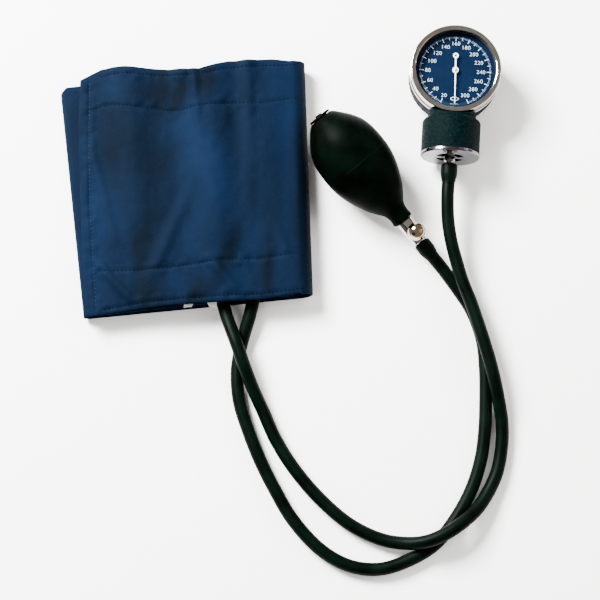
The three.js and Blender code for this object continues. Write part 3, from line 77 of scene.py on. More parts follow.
class Body(Enum):
    """The moving bodies that visible pieces ride on."""

    KIT = "kit"
    FLAP = "flap"
    POINTER = "pointer_arbor"
    SCREW = "screw"


class Alignment(Enum):
    """Axes that a set of bands crosses."""

    ACROSS = "X"
    ALONG = "Y"


class Pattern(Enum):
    """Patterns that raise a surface."""

    GRAIN = "grain"
    HAIRS = "hairs"
    CELLS = "cells"
    BANDS = "bands"


def on_table(x: float, y: float, z: float = 0.0) -> Vector:
    """Brings millimetres right, up and over the middle of the view into the frame's metres."""
    return (Vector((x, y, z)) - KIT_MIDDLE) * MM


def levels(node: str) -> Point2:
    """Reads the lowest and highest level of a CAD piece in millimetres."""
    low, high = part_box(node)
    return low[2] / MM, high[2] / MM


def held(value: float) -> float:
    """Holds a value between 0 and 1."""
    return min(1.0, max(0.0, value))


def smooth_step(low: float, high: float, value: float) -> float:
    """Eases from 0 at the low value to 1 at the high one."""
    share = held((value - low) / (high - low))
    return share * share * (3 - 2 * share)


def mix(start: float, end: float, share: float) -> float:
    """Blends two numbers by a share."""
    return start + (end - start) * share


def height_along(line: Sequence[Point2], place: float) -> float:
    """Reads a polyline's second coordinate at a first one, carried on past its ends.

    Args:
        line: points in the order of their first coordinate.
        place: first coordinate to read at.

    Returns:
        The second coordinate there.
    """
    for (x0, y0), (x1, y1) in zip(line, line[1:]):
        if place <= x1:
            break
    return mix(y0, y1, (place - x0) / (x1 - x0))


def smooth_line(points: Sequence[Point2], per_span: int) -> list[Point2]:
    """Rounds a line of listed points into a smooth profile.

    Args:
        points: places that the line passes through.
        per_span: steps between two places.

    Returns:
        The points of the smooth line, both ends included.
    """
    ends = [points[0], *points, points[-1]]
    line: list[Point2] = []
    for corners in zip(ends, ends[1:], ends[2:], ends[3:]):
        for step in range(per_span):
            t = step / per_span
            line.append(tuple(
                0.5 * (2 * b + (c - a) * t + (2 * a - 5 * b + 4 * c - d) * t * t
                       + (3 * b - a - 3 * c + d) * t ** 3)
                for a, b, c, d in zip(*corners)
            ))
    return [*line, points[-1]]


def arc(centre: Point2, radius: float, start: float, end: float, steps: int) -> list[Point2]:
    """Lists the points of an arc round a centre, between two angles in degrees."""
    angles = [math.radians(mix(start, end, step / steps)) for step in range(steps + 1)]
    return [(centre[0] + radius * math.cos(a), centre[1] + radius * math.sin(a)) for a in angles]


def axes(origin: Vector, ahead: Vector, up: Vector) -> Matrix:
    """Builds the place of a piece that is turned round its own Z.

    Args:
        origin: where the piece's own origin lies, in metres.
        ahead: direction of its Z.
        up: direction that its X leans to.

    Returns:
        The matrix from millimetres round the axis to the shared frame.
    """
    z = ahead.normalized()
    x = (up - z * up.dot(z)).normalized()
    turn = Matrix((x, z.cross(x), z)).transposed().to_4x4()
    return Matrix.Translation(origin) @ turn @ Matrix.Scale(MM, 4)


class Wiring:
    """The nodes of one material, from the place on the piece to the shader."""

    def __init__(self, name: str) -> None:
        """Starts a material with a principled shader.

        Args:
            name: name of the material.
        """
        self.material: Material = bpy.data.materials.new(name)
        self.material.use_nodes = True
        self.tree = self.material.node_tree
        self.shader: Node = self.tree.nodes["Principled BSDF"]
        self.place: NodeSocket = self.add("TexCoord").outputs["Object"]

    def fill(self, node: Node, inputs: dict[str | int, object]) -> None:
        """Sets a node's sockets to values, or links other sockets to them.

        Args:
            node: the node.
            inputs: a value or a socket for each name or number of an input.
        """
        for key, value in inputs.items():
            if isinstance(value, NodeSocket):
                self.tree.links.new(value, node.inputs[key])
            else:
                node.inputs[key].default_value = value

    def add(self, kind: str, inputs: dict[str | int, object] | None = None, **settings: object) -> Node:
        """Adds a node.

        Args:
            kind: its type without the words ShaderNode.
            inputs: what its sockets are filled with.
            settings: attributes to set on it.

        Returns:
            The new node.
        """
        node = self.tree.nodes.new(f"ShaderNode{kind}")
        for key, value in settings.items():
            setattr(node, key, value)
        self.fill(node, inputs or {})
        return node

    def paint(self, **inputs: object) -> None:
        """Fills the shader's sockets, named with underscores for spaces."""
        self.fill(self.shader, {key.replace("_", " "): value for key, value in inputs.items()})

    def moved(self, turn: float, stretch: Point3, centre: Point3 = BLACK) -> NodeSocket:
        """Measures places from a centre.

        Args:
            turn: angle round Z in radians.
            stretch: factors along the three axes.
            centre: new origin, in metres.

        Returns:
            The socket with the new places.
        """
        shift = self.add("Mapping", {"Vector": self.place, "Location": -Vector(centre)})
        spin = {"Vector": shift.outputs["Vector"], "Rotation": (0, 0, turn), "Scale": stretch}
        return self.add("Mapping", spin).outputs["Vector"]

    def grain(self, size: float, detail: float, place: NodeSocket | None = None) -> NodeSocket:
        """Adds cloudy noise with clouds of a width in millimetres and a number of finer layers."""
        inputs = {"Vector": place or self.place, "Scale": 1 / (size * MM), "Detail": detail}
        return self.add("TexNoise", inputs).outputs["Fac"]

    def cells(self, size: float) -> NodeSocket:
        """Adds rounded cells of a size in millimetres."""
        inputs = {"Vector": self.place, "Scale": 1 / (size * MM)}
        return self.add("TexVoronoi", inputs, feature="SMOOTH_F1").outputs["Distance"]

    def bands(self, pitch: float, way: Alignment, wobble: float) -> NodeSocket:
        """Adds bands that cross an axis, at a pitch in millimetres and bent by noise."""
        inputs = {"Vector": self.place, "Scale": math.tau / (20 * pitch * MM), "Distortion": wobble}
        return self.add("TexWave", inputs, wave_type="BANDS", bands_direction=way.value).outputs["Fac"]

    def pattern(self, kind: Pattern, size: float, detail: float) -> NodeSocket:
        """Adds one of the named patterns.

        Args:
            kind: which one.
            size: its width in millimetres.
            detail: finer layers of a grain, or the wobble of bands.

        Returns:
            The socket with the pattern.
        """
        if kind is Pattern.CELLS:
            return self.cells(size)
        if kind is Pattern.BANDS:
            return self.bands(size, Alignment.ACROSS, detail)
        return self.grain(size, detail, self.moved(0.6, (1, 0.06, 1)) if kind is Pattern.HAIRS else None)

    def ramp(self, share: NodeSocket, *stops: tuple[float, Colour], ease: str = "LINEAR") -> NodeSocket:
        """Turns a value into a colour.

        Args:
            share: the value.
            stops: values with their colours, from the lowest.
            ease: how the ramp goes from one stop to the next.

        Returns:
            The socket with the colour.
        """
        node = self.add("ValToRGB", {"Fac": share})
        node.color_ramp.interpolation = ease
        elements = node.color_ramp.elements
        for index, (place, colour) in enumerate(stops):
            stop = elements[index] if index < 2 else elements.new(place)
            stop.position = place
            stop.color = (*colour, 1)
        return node.outputs["Color"]

    def range(self, share: NodeSocket, low: float, high: float) -> NodeSocket:
        """Brings a value from 0..1 into a range."""
        return self.add("MapRange", {"Value": share, "To Min": low, "To Max": high}).outputs["Result"]

    def maths(self, operation: str, first: NodeSocket, second: NodeSocket | float) -> NodeSocket:
        """Combines two values by an operation of the math node."""
        return self.add("Math", {0: first, 1: second}, operation=operation).outputs["Value"]

    def painted(self, name: str) -> NodeSocket:
        """Reads a value that is stored on the piece's own points, 0 where there is none."""
        return self.add("Attribute", attribute_type="GEOMETRY", attribute_name=name).outputs["Fac"]

    def relief(self, height: NodeSocket, depth: float, below: NodeSocket | None = None) -> NodeSocket:
        """Adds a bump of a depth in millimetres, over another one where that is given."""
        inputs = {"Strength": 1.0, "Distance": depth * MM, "Height": height}
        return self.add("Bump", inputs | ({"Normal": below} if below else {})).outputs["Normal"]


@dataclass(frozen=True)
class Finish:
    """A surface finish that makes one shared material."""

    name: str
    slot: str
    dark: Colour
    light: Colour
    roughness: float

    def wire(self, wiring: Wiring) -> None:
        """Adds the finish's own nodes."""
        raise NotImplementedError

    def material(self) -> Material:
        """Gives the material, made once.

        Returns:
            The material.
        """
        name = f"{self.name}_finish"
        if name not in bpy.data.materials:
            self.wire(Wiring(name))
        return bpy.data.materials[name]


@dataclass(frozen=True)
class WovenCloth(Finish):
    """Plain-woven nylon: crossing threads, slubs, drifting dye, and painted light and shade stored on the
    piece.
    """

    pitch: float = 0.55

    def wire(self, wiring: Wiring) -> None:
        """Adds the weave, the slubs, the drift and the painted light and shade.

        Args:
            wiring: nodes of the material.
        """
        drift = wiring.grain(30, 5, wiring.moved(0.12, (1.3, 0.45, 1)))
        weave = wiring.maths("MULTIPLY", *(wiring.bands(self.pitch, way, 0.6) for way in Alignment))
        slub = wiring.grain(1.6, 2)
        share = wiring.maths("ADD", wiring.range(drift, 0.18, 0.82), wiring.range(slub, -0.13, 0.13))
        # Adds the painted light and painted shade stored on the piece's points.
        share = wiring.maths("ADD", share, wiring.painted(PAINTED_SHADING_ATTRIBUTE))
        wiring.paint(
            Base_Color=wiring.ramp(share, (0.28, self.dark), (0.68, self.light)),
            Roughness=wiring.range(slub, self.roughness - 0.08, self.roughness + 0.1),
            Normal=wiring.relief(slub, 0.08, wiring.relief(weave, 0.09)),
            Specular_IOR_Level=0.018,
        )


@dataclass(frozen=True)
class Mottled(Finish):
    """A finish whose colour and roughness drift in clouds, under raised patterns.

    `cloud` is the clouds' width and detail, `stops` the cloud values of both colours, `drift` how far
    the roughness goes down and up with them, and `layers` the patterns with width, detail and depth.
    """

    cloud: Point2 = (3.0, 2.0)
    stops: Point2 = (0.3, 0.7)
    drift: Point2 = (0.0, 0.0)
    gloss: float = 0.5
    metallic: float = 0.0
    layers: tuple[tuple[Pattern, float, float, float], ...] = ()

    def roughness_range(self) -> Point2:
        """Gives the lowest and the highest roughness."""
        return self.roughness + self.drift[0], self.roughness + self.drift[1]

    def wire(self, wiring: Wiring) -> None:
        """Adds the clouds and the raised patterns.

        Args:
            wiring: nodes of the material.
        """
        cloud = wiring.grain(*self.cloud)
        normal = None
        for kind, size, detail, depth in self.layers:
            normal = wiring.relief(wiring.pattern(kind, size, detail), depth, normal)
        low, high = self.roughness_range()
        wiring.paint(
            Base_Color=wiring.ramp(cloud, *zip(self.stops, (self.dark, self.light))),
            Roughness=wiring.range(cloud, low, high) if low < high else low,
            Normal=normal, Specular_IOR_Level=self.gloss, Metallic=self.metallic,
        )


@dataclass(frozen=True)
class Pile(Mottled):
    """The brushed face of a hook or loop tape."""

    cloud: Point2 = (7.0, 5.0)
    gloss: float = 0.02
    layers: tuple = ((Pattern.GRAIN, 7.0, 5.0, 0.3), (Pattern.CELLS, 0.7, 0.0, 0.35))


@dataclass(frozen=True)
class Thread(Mottled):
    """Twisted sewing thread or woven tape."""

    gloss: float = 0.03
    layers: tuple = ((Pattern.BANDS, 0.5, 1.2, 0.06),)


@dataclass(frozen=True)
class MouldedRubber(Mottled):
    """Moulded rubber with a dusty bloom, a fine skin and small pits."""

    cloud: Point2 = (16.0, 5.0)
    stops: Point2 = (0.35, 0.75)
    drift: Point2 = (-0.09, 0.12)
    gloss: float = 0.02
    layers: tuple = ((Pattern.GRAIN, 0.5, 3.0, 0.035), (Pattern.CELLS, 1.9, 0.0, 0.02))


@dataclass(frozen=True)
class Plating(Mottled):
    """Polished plating with faint wiping marks."""

    cloud: Point2 = (6.0, 6.0)
    metallic: float = 1.0
    layers: tuple = ((Pattern.HAIRS, 0.25, 2.0, 0.006),)

    def roughness_range(self) -> Point2:
        """Gives the lowest and the highest roughness."""
        return self.roughness * 0.5, self.roughness * 1.6


@dataclass(frozen=True)
class CutMetal(Mottled):
    """Metal with tarnish, and tool marks from turning or stamping."""

    cloud: Point2 = (5.0, 4.0)
    drift: Point2 = (-0.08, 0.1)
    metallic: float = 1.0
    layers: tuple = ((Pattern.BANDS, 0.5, 3.0, 0.01),)


@dataclass(frozen=True)
class Ink(Mottled):
    """Printed or sprayed enamel with a slightly uneven cover."""

    cloud: Point2 = (0.6, 3.0)
    stops: Point2 = (0.25, 0.6)
    layers: tuple = ((Pattern.GRAIN, 0.6, 3.0, 0.01),)


@dataclass(frozen=True)
class StudioPaper(Mottled):
    """Pale or dark paper with a faint tooth."""

    cloud: Point2 = (1.2, 3.0)
    gloss: float = 0.2
    layers: tuple = ((Pattern.GRAIN, 1.2, 3.0, 0.02),)


@dataclass(frozen=True)
class WrinklePaint(Finish):
    """Oven-dried wrinkle paint: small raised worms that catch the light."""

    wrinkle: float = 0.9

    def wire(self, wiring: Wiring) -> None:
        """Adds the wrinkles, with painted shade in their valleys.

        Args:
            wiring: nodes of the material.
        """
        worms = wiring.cells(self.wrinkle)
        raised = wiring.maths("MULTIPLY", worms, wiring.grain(0.8, 2))
        wiring.paint(
            # The colour follows the wrinkles' height: painted shade where they are low.
            Base_Color=wiring.ramp(raised, (0.1, self.dark), (0.3, self.light)),
            Roughness=wiring.range(worms, self.roughness - 0.1, self.roughness + 0.2),
            Normal=wiring.relief(raised, 0.75), Specular_IOR_Level=0.012,
        )


@dataclass(frozen=True)
class DialEnamel(Finish):
    """The enamelled dial: blue, with a paler band under the fine scale."""

    centre: Point3 = (0.0, 0.0, 0.0)
    band: Point2 = (20.7, 22.5)
    band_colour: Colour = (0.0024, 0.0096, 0.025)
    span: float = 30.0

    def wire(self, wiring: Wiring) -> None:
        """Adds the band by its distance from the centre, over a ground that drifts a little.

        Args:
            wiring: nodes of the material.
        """
        flat = wiring.moved(0.0, (1, 1, 0), self.centre)
        reach = wiring.add("VectorMath", {0: flat}, operation="LENGTH").outputs["Value"]
        share = wiring.maths("MULTIPLY", reach, 1 / (self.span * MM))
        inner, outer = (radius / self.span for radius in self.band)
        ring = wiring.ramp(share, (0.0, BLACK), (inner, WHITE), (outer, BLACK), ease="CONSTANT")
        drift = wiring.grain(7, 4)
        ground = wiring.ramp(drift, (0.3, self.dark), (0.7, self.light))
        both = wiring.add("Mix", data_type="RGBA")
        wiring.fill(both, {0: ring, 6: ground, 7: (*self.band_colour, 1)})
        wiring.paint(
            Base_Color=both.outputs[2], Normal=wiring.relief(drift, 0.002),
            Roughness=self.roughness, Specular_IOR_Level=0.03,
        )


@dataclass(frozen=True)
class WindowGlass(Finish):
    """Thin flat glass: clear from above, a mirror of the studio only at low angles."""

    def wire(self, wiring: Wiring) -> None:
        """Mixes clear view and mirror by the angle of sight.

        Args:
            wiring: nodes of the material.
        """
        clear = wiring.add("BsdfTransparent", {"Color": (*self.light, 1)})
        smears = wiring.range(wiring.grain(8, 3), 0.0, self.roughness)
        mirror = wiring.add("BsdfGlossy", {"Roughness": smears})
        slant = wiring.add("LayerWeight", {"Blend": 0.5}).outputs["Facing"]
        both = wiring.add("MixShader", {
            "Fac": wiring.range(slant, -1.0, 0.6), 1: clear.outputs["BSDF"], 2: mirror.outputs["BSDF"],
        })
        wiring.fill(wiring.tree.nodes["Material Output"], {"Surface": both.outputs["Shader"]})


NAVY_NYLON = WovenCloth("navy_nylon", "navy_nylon", (0.0001, 0.0015, 0.004), (0.0008, 0.0046, 0.015), 0.62)
NAVY_LINING = WovenCloth(
    "navy_lining", "navy_nylon", (0.0001, 0.0012, 0.004), (0.0003, 0.0026, 0.009), 0.7, 0.45,
)
NAVY_PILE = Pile("navy_pile", "navy_pile", (0.0003, 0.001, 0.0026), (0.0012, 0.003, 0.0075), 0.95)
SEAM_THREAD = Thread("seam_thread", "navy_nylon", (0.0001, 0.0005, 0.0014), (0.0002, 0.001, 0.0026), 0.7)
PALE_THREAD = Thread("pale_thread", "navy_nylon", (0.003, 0.01, 0.02), (0.008, 0.018, 0.032), 0.7)
LABEL_TAPE = Thread("label_tape", "white_tape", (0.45, 0.47, 0.47), (0.62, 0.64, 0.63), 0.8)
BULB_RUBBER = MouldedRubber(
    "bulb_rubber", "black_rubber", (0.0001, 0.0003, 0.0001), (0.0003, 0.0018, 0.0009), 0.42, gloss=0.007,
)
TUBE_RUBBER = MouldedRubber(
    "tube_rubber", "black_rubber", (0.0001, 0.0005, 0.0003), (0.0003, 0.0026, 0.0015), 0.42,
    layers=((Pattern.GRAIN, 0.4, 3.0, 0.035), (Pattern.CELLS, 1.9, 0.0, 0.02)),
)
DULL_RUBBER = MouldedRubber(
    "dull_rubber", "dull_rubber", (0.0003, 0.0005, 0.0004), (0.0009, 0.0012, 0.0011), 0.6,
)
CHROME = Plating("chrome", "chrome", (0.4, 0.385, 0.36), (0.55, 0.53, 0.5), 0.07)
# Chrome for the thumb screw's knob, darkened and tinted brown: a painted warm reflection on its plating.
CHROME_PAINTED_WARM_REFLECTION = Plating("chrome_painted_warm_reflection", "chrome", (0.34, 0.27, 0.19), (0.46, 0.38, 0.28), 0.06)
# Satin chrome for the end cap, darkened far below real plating with a faint bluish tint: painted shade and
# painted reflection on the cap's face.
SATIN_CHROME_PAINTED_SHADE = Plating("satin_chrome_painted_shade", "chrome", (0.07, 0.07, 0.082), (0.12, 0.12, 0.14), 0.16)
STEEL = CutMetal("steel", "steel", (0.4, 0.41, 0.43), (0.62, 0.63, 0.65), 0.3)
BRASS = CutMetal("brass", "brass", (0.42, 0.28, 0.1), (0.62, 0.45, 0.2), 0.32)
GILT = CutMetal("gilt", "brass", (0.5, 0.33, 0.1), (0.75, 0.55, 0.22), 0.25)
CASE_PAINT = WrinklePaint(
    "case_paint", "wrinkle_paint", (0.0001, 0.0003, 0.0004), (0.0004, 0.0042, 0.0045), 0.5,
)
DARK_RING = Ink("dark_ring", "dark_ring", (0.0002, 0.0005, 0.001), (0.0005, 0.0012, 0.002), 0.5)
WHITE_PRINT = Ink("white_print", "pointer_white", (0.36, 0.39, 0.42), (0.5, 0.53, 0.56), 0.5)
WHITE_ENAMEL = Ink("white_enamel", "pointer_white", (0.65, 0.65, 0.63), (0.75, 0.75, 0.73), 0.35)
GLASS = WindowGlass("glass", "clear_glass", (0.94, 0.97, 0.98), (0.97, 0.985, 0.99), 0.03)
DARK_CARD = StudioPaper("dark_card", "", (0.004, 0.005, 0.005), (0.006, 0.007, 0.007), 0.95)
WARM_CARD = StudioPaper("warm_card", "", (0.16, 0.1, 0.05), (0.2, 0.13, 0.07), 0.95)
PAPER = StudioPaper("paper", "", (0.88, 0.88, 0.88), (0.92, 0.92, 0.92), 0.9)


def turned(profile: Sequence[Point2], place: Matrix, steps: int = 96) -> BMesh:
    """Spins a profile round the local Z and puts it in its place.

    Args:
        profile: radius and height of each point, from the axis to the axis or round a ring.
        place: matrix from the profile's millimetres to the shared frame.
        steps: faces round the axis.

    Returns:
        The closed shape.
    """
    shape = bmesh.new()
    corners = [shape.verts.new((radius, 0, height)) for radius, height in profile]
    pairs = list(zip(corners, corners[1:]))
    if profile[0][0] > 0:
        pairs.append((corners[-1], corners[0]))
    edges = [shape.edges.new(pair) for pair in pairs]
    bmesh.ops.spin(
        shape, geom=[*corners, *edges], cent=(0, 0, 0), axis=UP, angle=math.tau, steps=steps,
        use_merge=True,
    )
    bmesh.ops.remove_doubles(shape, verts=shape.verts, dist=1e-4)
    bmesh.ops.recalc_face_normals(shape, faces=shape.faces)
    bmesh.ops.transform(shape, matrix=place, verts=shape.verts)
    return shape


def linked(name: str, data: ID) -> Object:
    """Adds an object to the scene.

    Args:
        name: its name.
        data: its mesh, curve, text, light or camera.

    Returns:
        The object.
    """
    item = bpy.data.objects.new(name, data)
    bpy.context.collection.objects.link(item)
    return item


def placed(shape: BMesh, name: str, finish: Finish) -> Object:
    """Turns a shape into an object of the scene.

    Args:
        shape: the shape, which is used up.
        name: name of the object.
        finish: its surface.

    Returns:
        The object.
    """
    mesh: Mesh = bpy.data.meshes.new(name)
    shape.to_mesh(mesh)
    shape.free()
    mesh.materials.append(finish.material())
    mesh.shade_smooth()
    log.info("%s: %d faces", name, len(mesh.polygons))
    return linked(name, mesh)


def piece(
    name: str, shape: BMesh, finish: Finish, body: Body, stands_for: Sequence[str] = (), crease: float = 38.0,
) -> Object:
    """Finishes a shape as a piece that rides on a body.

    Args:
        name: name of the piece.
        shape: its shape in the shared frame.
        finish: its surface.
        body: the body that it moves with.
        stands_for: nodes that it is shown instead of.
        crease: edges sharper than this angle in degrees stay sharp.

    Returns:
        The piece.
    """
    item = placed(shape, name, finish)
    item.data.set_sharp_from_angle(angle=math.radians(crease))
    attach(item, body.value)
    if stands_for:
        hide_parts(*stands_for)
    return item


def gather(shapes: Iterable[BMesh]) -> BMesh:
    """Puts separate shapes into one.

    Args:
        shapes: shapes to gather, which are used up.

    Returns:
        One shape that holds them all.
    """
    result = bmesh.new()
    for shape in shapes:
        mesh = bpy.data.meshes.new("part")
        shape.to_mesh(mesh)
        shape.free()
        result.from_mesh(mesh)
        bpy.data.meshes.remove(mesh)
    return result


def dressed(node: str, finish: Finish, body: Body, rounding: float) -> Object:
    """Copies a CAD piece with softened edges and a finish.

    Args:
        node: the CAD piece.
        finish: its surface.
        body: the body that it moves with.
        rounding: radius of its softened edges in millimetres.

    Returns:
        The piece.
    """
    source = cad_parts[node]
    shape = bmesh.new()
    shape.from_mesh(source.data)
    bmesh.ops.transform(shape, matrix=source.matrix_world, verts=shape.verts)
    bmesh.ops.remove_doubles(shape, verts=shape.verts, dist=2e-6)
    bmesh.ops.dissolve_limit(shape, angle_limit=math.radians(0.5), verts=shape.verts, edges=shape.edges)
    bmesh.ops.recalc_face_normals(shape, faces=shape.faces)
    item = piece(f"{node}_finished", shape, finish, body, [node])
    soften = item.modifiers.new("rounding", "BEVEL")
    soften.width = rounding * MM
    soften.segments = 2
    soften.limit_method = "ANGLE"
    soften.angle_limit = math.radians(40)
    soften.use_clamp_overlap = True
    return item


def grid_sheet(across: int, along: int, spot: Callable[[float, float], Point3]) -> BMesh:
    """Lays a fine grid over a surface.

    Args:
        across: faces from left to right.
        along: faces from bottom to top.
        spot: place on the table, in millimetres, for two shares from 0 to 1.

    Returns:
        The open surface, its faces upward.
    """
    shape = bmesh.new()
    bmesh.ops.create_grid(shape, x_segments=across, y_segments=along, size=0.5)
    for corner in shape.verts:
        corner.co = on_table(*spot(corner.co.x + 0.5, corner.co.y + 0.5))
    bmesh.ops.recalc_face_normals(shape, faces=shape.faces)
    return shape


def thicken(item: Object, thickness: float) -> Object:
    """Gives a cloth its thickness on both sides of its middle.

    Args:
        item: the cloth.
        thickness: its thickness in millimetres.

    Returns:
        The cloth.
    """
    solid = item.modifiers.new("thickness", "SOLIDIFY")
    solid.thickness = thickness * MM
    solid.offset = 0.0
    solid.use_even_offset = False
    return item


def area_of(shape: BMesh) -> float:
    """Adds up the faces of a shape in square metres."""
    return sum(face.calc_area() for face in shape.faces)


def nearest(x: float, y: float, line: Sequence[Point2]) -> float:
    """Measures the distance from a spot to a line of points.

    Args:
        x: place to the right.
        y: place upward.
        line: the points.

    Returns:
        The distance in millimetres.
    """
    best = math.inf
    for (x0, y0), (x1, y1) in zip(line, line[1:]):
        dx, dy = x1 - x0, y1 - y0
        share = held(((x - x0) * dx + (y - y0) * dy) / (dx * dx + dy * dy))
        best = min(best, math.hypot(x - x0 - share * dx, y - y0 - share * dy))
    return best


@dataclass(frozen=True)
class Wear:
    """A patch of painted light, where the cloth is paler, or of painted shade, where it is darker with a
    change below 0.
    """

    place: Point2
    reach: Point2
    turn: float
    change: float

    def at(self, x: float, y: float) -> float:
        """Gives the patch's share in the colour of a spot.

        Args:
            x: place to the right.
            y: place upward.

        Returns:
            The change there.
        """
        dx, dy, lean = x - self.place[0], y - self.place[1], math.radians(self.turn)
        across = (dx * math.cos(lean) + dy * math.sin(lean)) / self.reach[0]
        along = (dy * math.cos(lean) - dx * math.sin(lean)) / self.reach[1]
        return self.change * math.exp(-across * across - along * along)


@dataclass(frozen=True)
class Crease:
    """A soft ridge or hollow that runs over the cloth."""

    start: Point2
    end: Point2
    width: float
    height: float

    def rise(self, x: float, y: float) -> float:
        """Gives the ridge's height over a spot, fading towards its ends.

        Args:
            x: place to the right.
            y: place upward.

        Returns:
            The height in millimetres.
        """
        (x0, y0), (x1, y1) = self.start, self.end
        dx, dy = x1 - x0, y1 - y0
        length = math.hypot(dx, dy)
        along = ((x - x0) * dx + (y - y0) * dy) / length
        across = ((x - x0) * dy - (y - y0) * dx) / length
        fade = smooth_step(-0.15 * length, 0.3 * length, along)
        fade *= 1 - smooth_step(0.7 * length, 1.15 * length, along)
        return self.height * fade * math.exp(-((across / self.width) ** 2))


@dataclass(frozen=True)
class Seam:
    """A line of stitches."""

    finish: Finish
    path: tuple[Point2, ...]
    pitch: float = 2.5
    groove: float = 0.55

    def stations(self) -> list[tuple[float, float, float]]:
        """Lists the stitches.

        Returns:
            The middle of each stitch and its direction in radians.
        """
        found: list[tuple[float, float, float]] = []
        left = 0.5 * self.pitch
        for (x0, y0), (x1, y1) in zip(self.path, self.path[1:]):
            length = math.hypot(x1 - x0, y1 - y0)
            while left < length:
                share = left / length
                found.append((mix(x0, x1, share), mix(y0, y1, share), math.atan2(y1 - y0, x1 - x0)))
                left += self.pitch
            left -= length
        return found


@dataclass
class CuffPlan:
    """Outline of the folded cuff on the table, and the heights of its layers."""

    left_top: Point2 = (-150.8, 133.4)
    left_bottom: Point2 = (-132.4, -12.2)
    right_top: Point2 = (3.0, 149.2)
    right_bottom: Point2 = (7.9, 1.6)
    width: float = 146.0
    stack: float = 17.6
    leaf: float = 13.1
    fold_radius: float = 8.8
    fold_share: float = 0.93973
    hinge_share: float = 0.93767
    sink: float = 4.4
    corner_cut: float = 4.2
    flap_left: tuple[Point2, ...] = ((-130.3, -13.4), (-134.8, 59.1), (-136.9, 103.7), (-136.8, 136.8))
    flap_corner: Point2 = (-124.2, 143.4)
    flap_top: tuple[Point2, ...] = (
        (-109.6, 144.5), (-80.9, 142.2), (-62.9, 142.6), (-44.9, 147.5), (-17.5, 149.1),
    )
    flap_bottom: tuple[Point2, ...] = (
        (-120.9, -11.9), (-96.8, -8.2), (-71.4, -5.8), (-45.4, -3.9), (-23.0, -2.7),
    )

    def spot(self, u: float, v: float) -> Point2:
        """Gives the spot at shares of the cuff's width and height.

        Args:
            u: share from the left edge to the fold.
            v: share from the bottom edge to the top edge.

        Returns:
            The spot on the table.
        """
        bottom = [mix(a, b, u) for a, b in zip(self.left_bottom, self.right_bottom)]
        top = [mix(a, b, u) for a, b in zip(self.left_top, self.right_top)]
        return (mix(bottom[0], top[0], v), mix(bottom[1], top[1], v))

    def settled(self, u: float, level: float) -> float:
        """Lowers a level towards the left end, where the layers are pressed together."""
        return level - self.sink * (1 - smooth_step(0, 0.5, u))

    def shares(self, x: float, y: float) -> Point2:
        """Finds the shares of a spot.

        Args:
            x: place to the right.
            y: place upward.

        Returns:
            Its shares of the width and the height.
        """
        u = v = 0.5
        for _ in range(4):
            low, high = self.spot(u, 0)[1], self.spot(u, 1)[1]
            v = (y - low) / (high - low)
            left, right = self.spot(0, v)[0], self.spot(1, v)[0]
            u = (x - left) / (right - left)
        return u, v

    def flap_spot(self, u: float, v: float) -> Point2:
        """Gives the spot at shares of the flap, which is narrower than the cuff.

        Args:
            u: share from its left edge to the fold.
            v: share from its bottom edge to its top edge.

        Returns:
            The spot on the table.
        """
        top = [self.flap_left[-1], self.flap_corner, *self.flap_top, self.spot(self.hinge_share, 1)]
        bottom = [self.flap_left[0], *self.flap_bottom, self.spot(self.hinge_share, 0)]
        y_top = height_along(top, mix(top[0][0], top[-1][0], u))
        y_bottom = height_along(bottom, mix(bottom[0][0], bottom[-1][0], u))
        left = [(y, x) for x, y in self.flap_left]
        x_left = height_along(left, mix(left[0][0], left[-1][0], v))
        return (mix(x_left, self.spot(self.hinge_share, v)[0], u), mix(y_bottom, y_top, v))


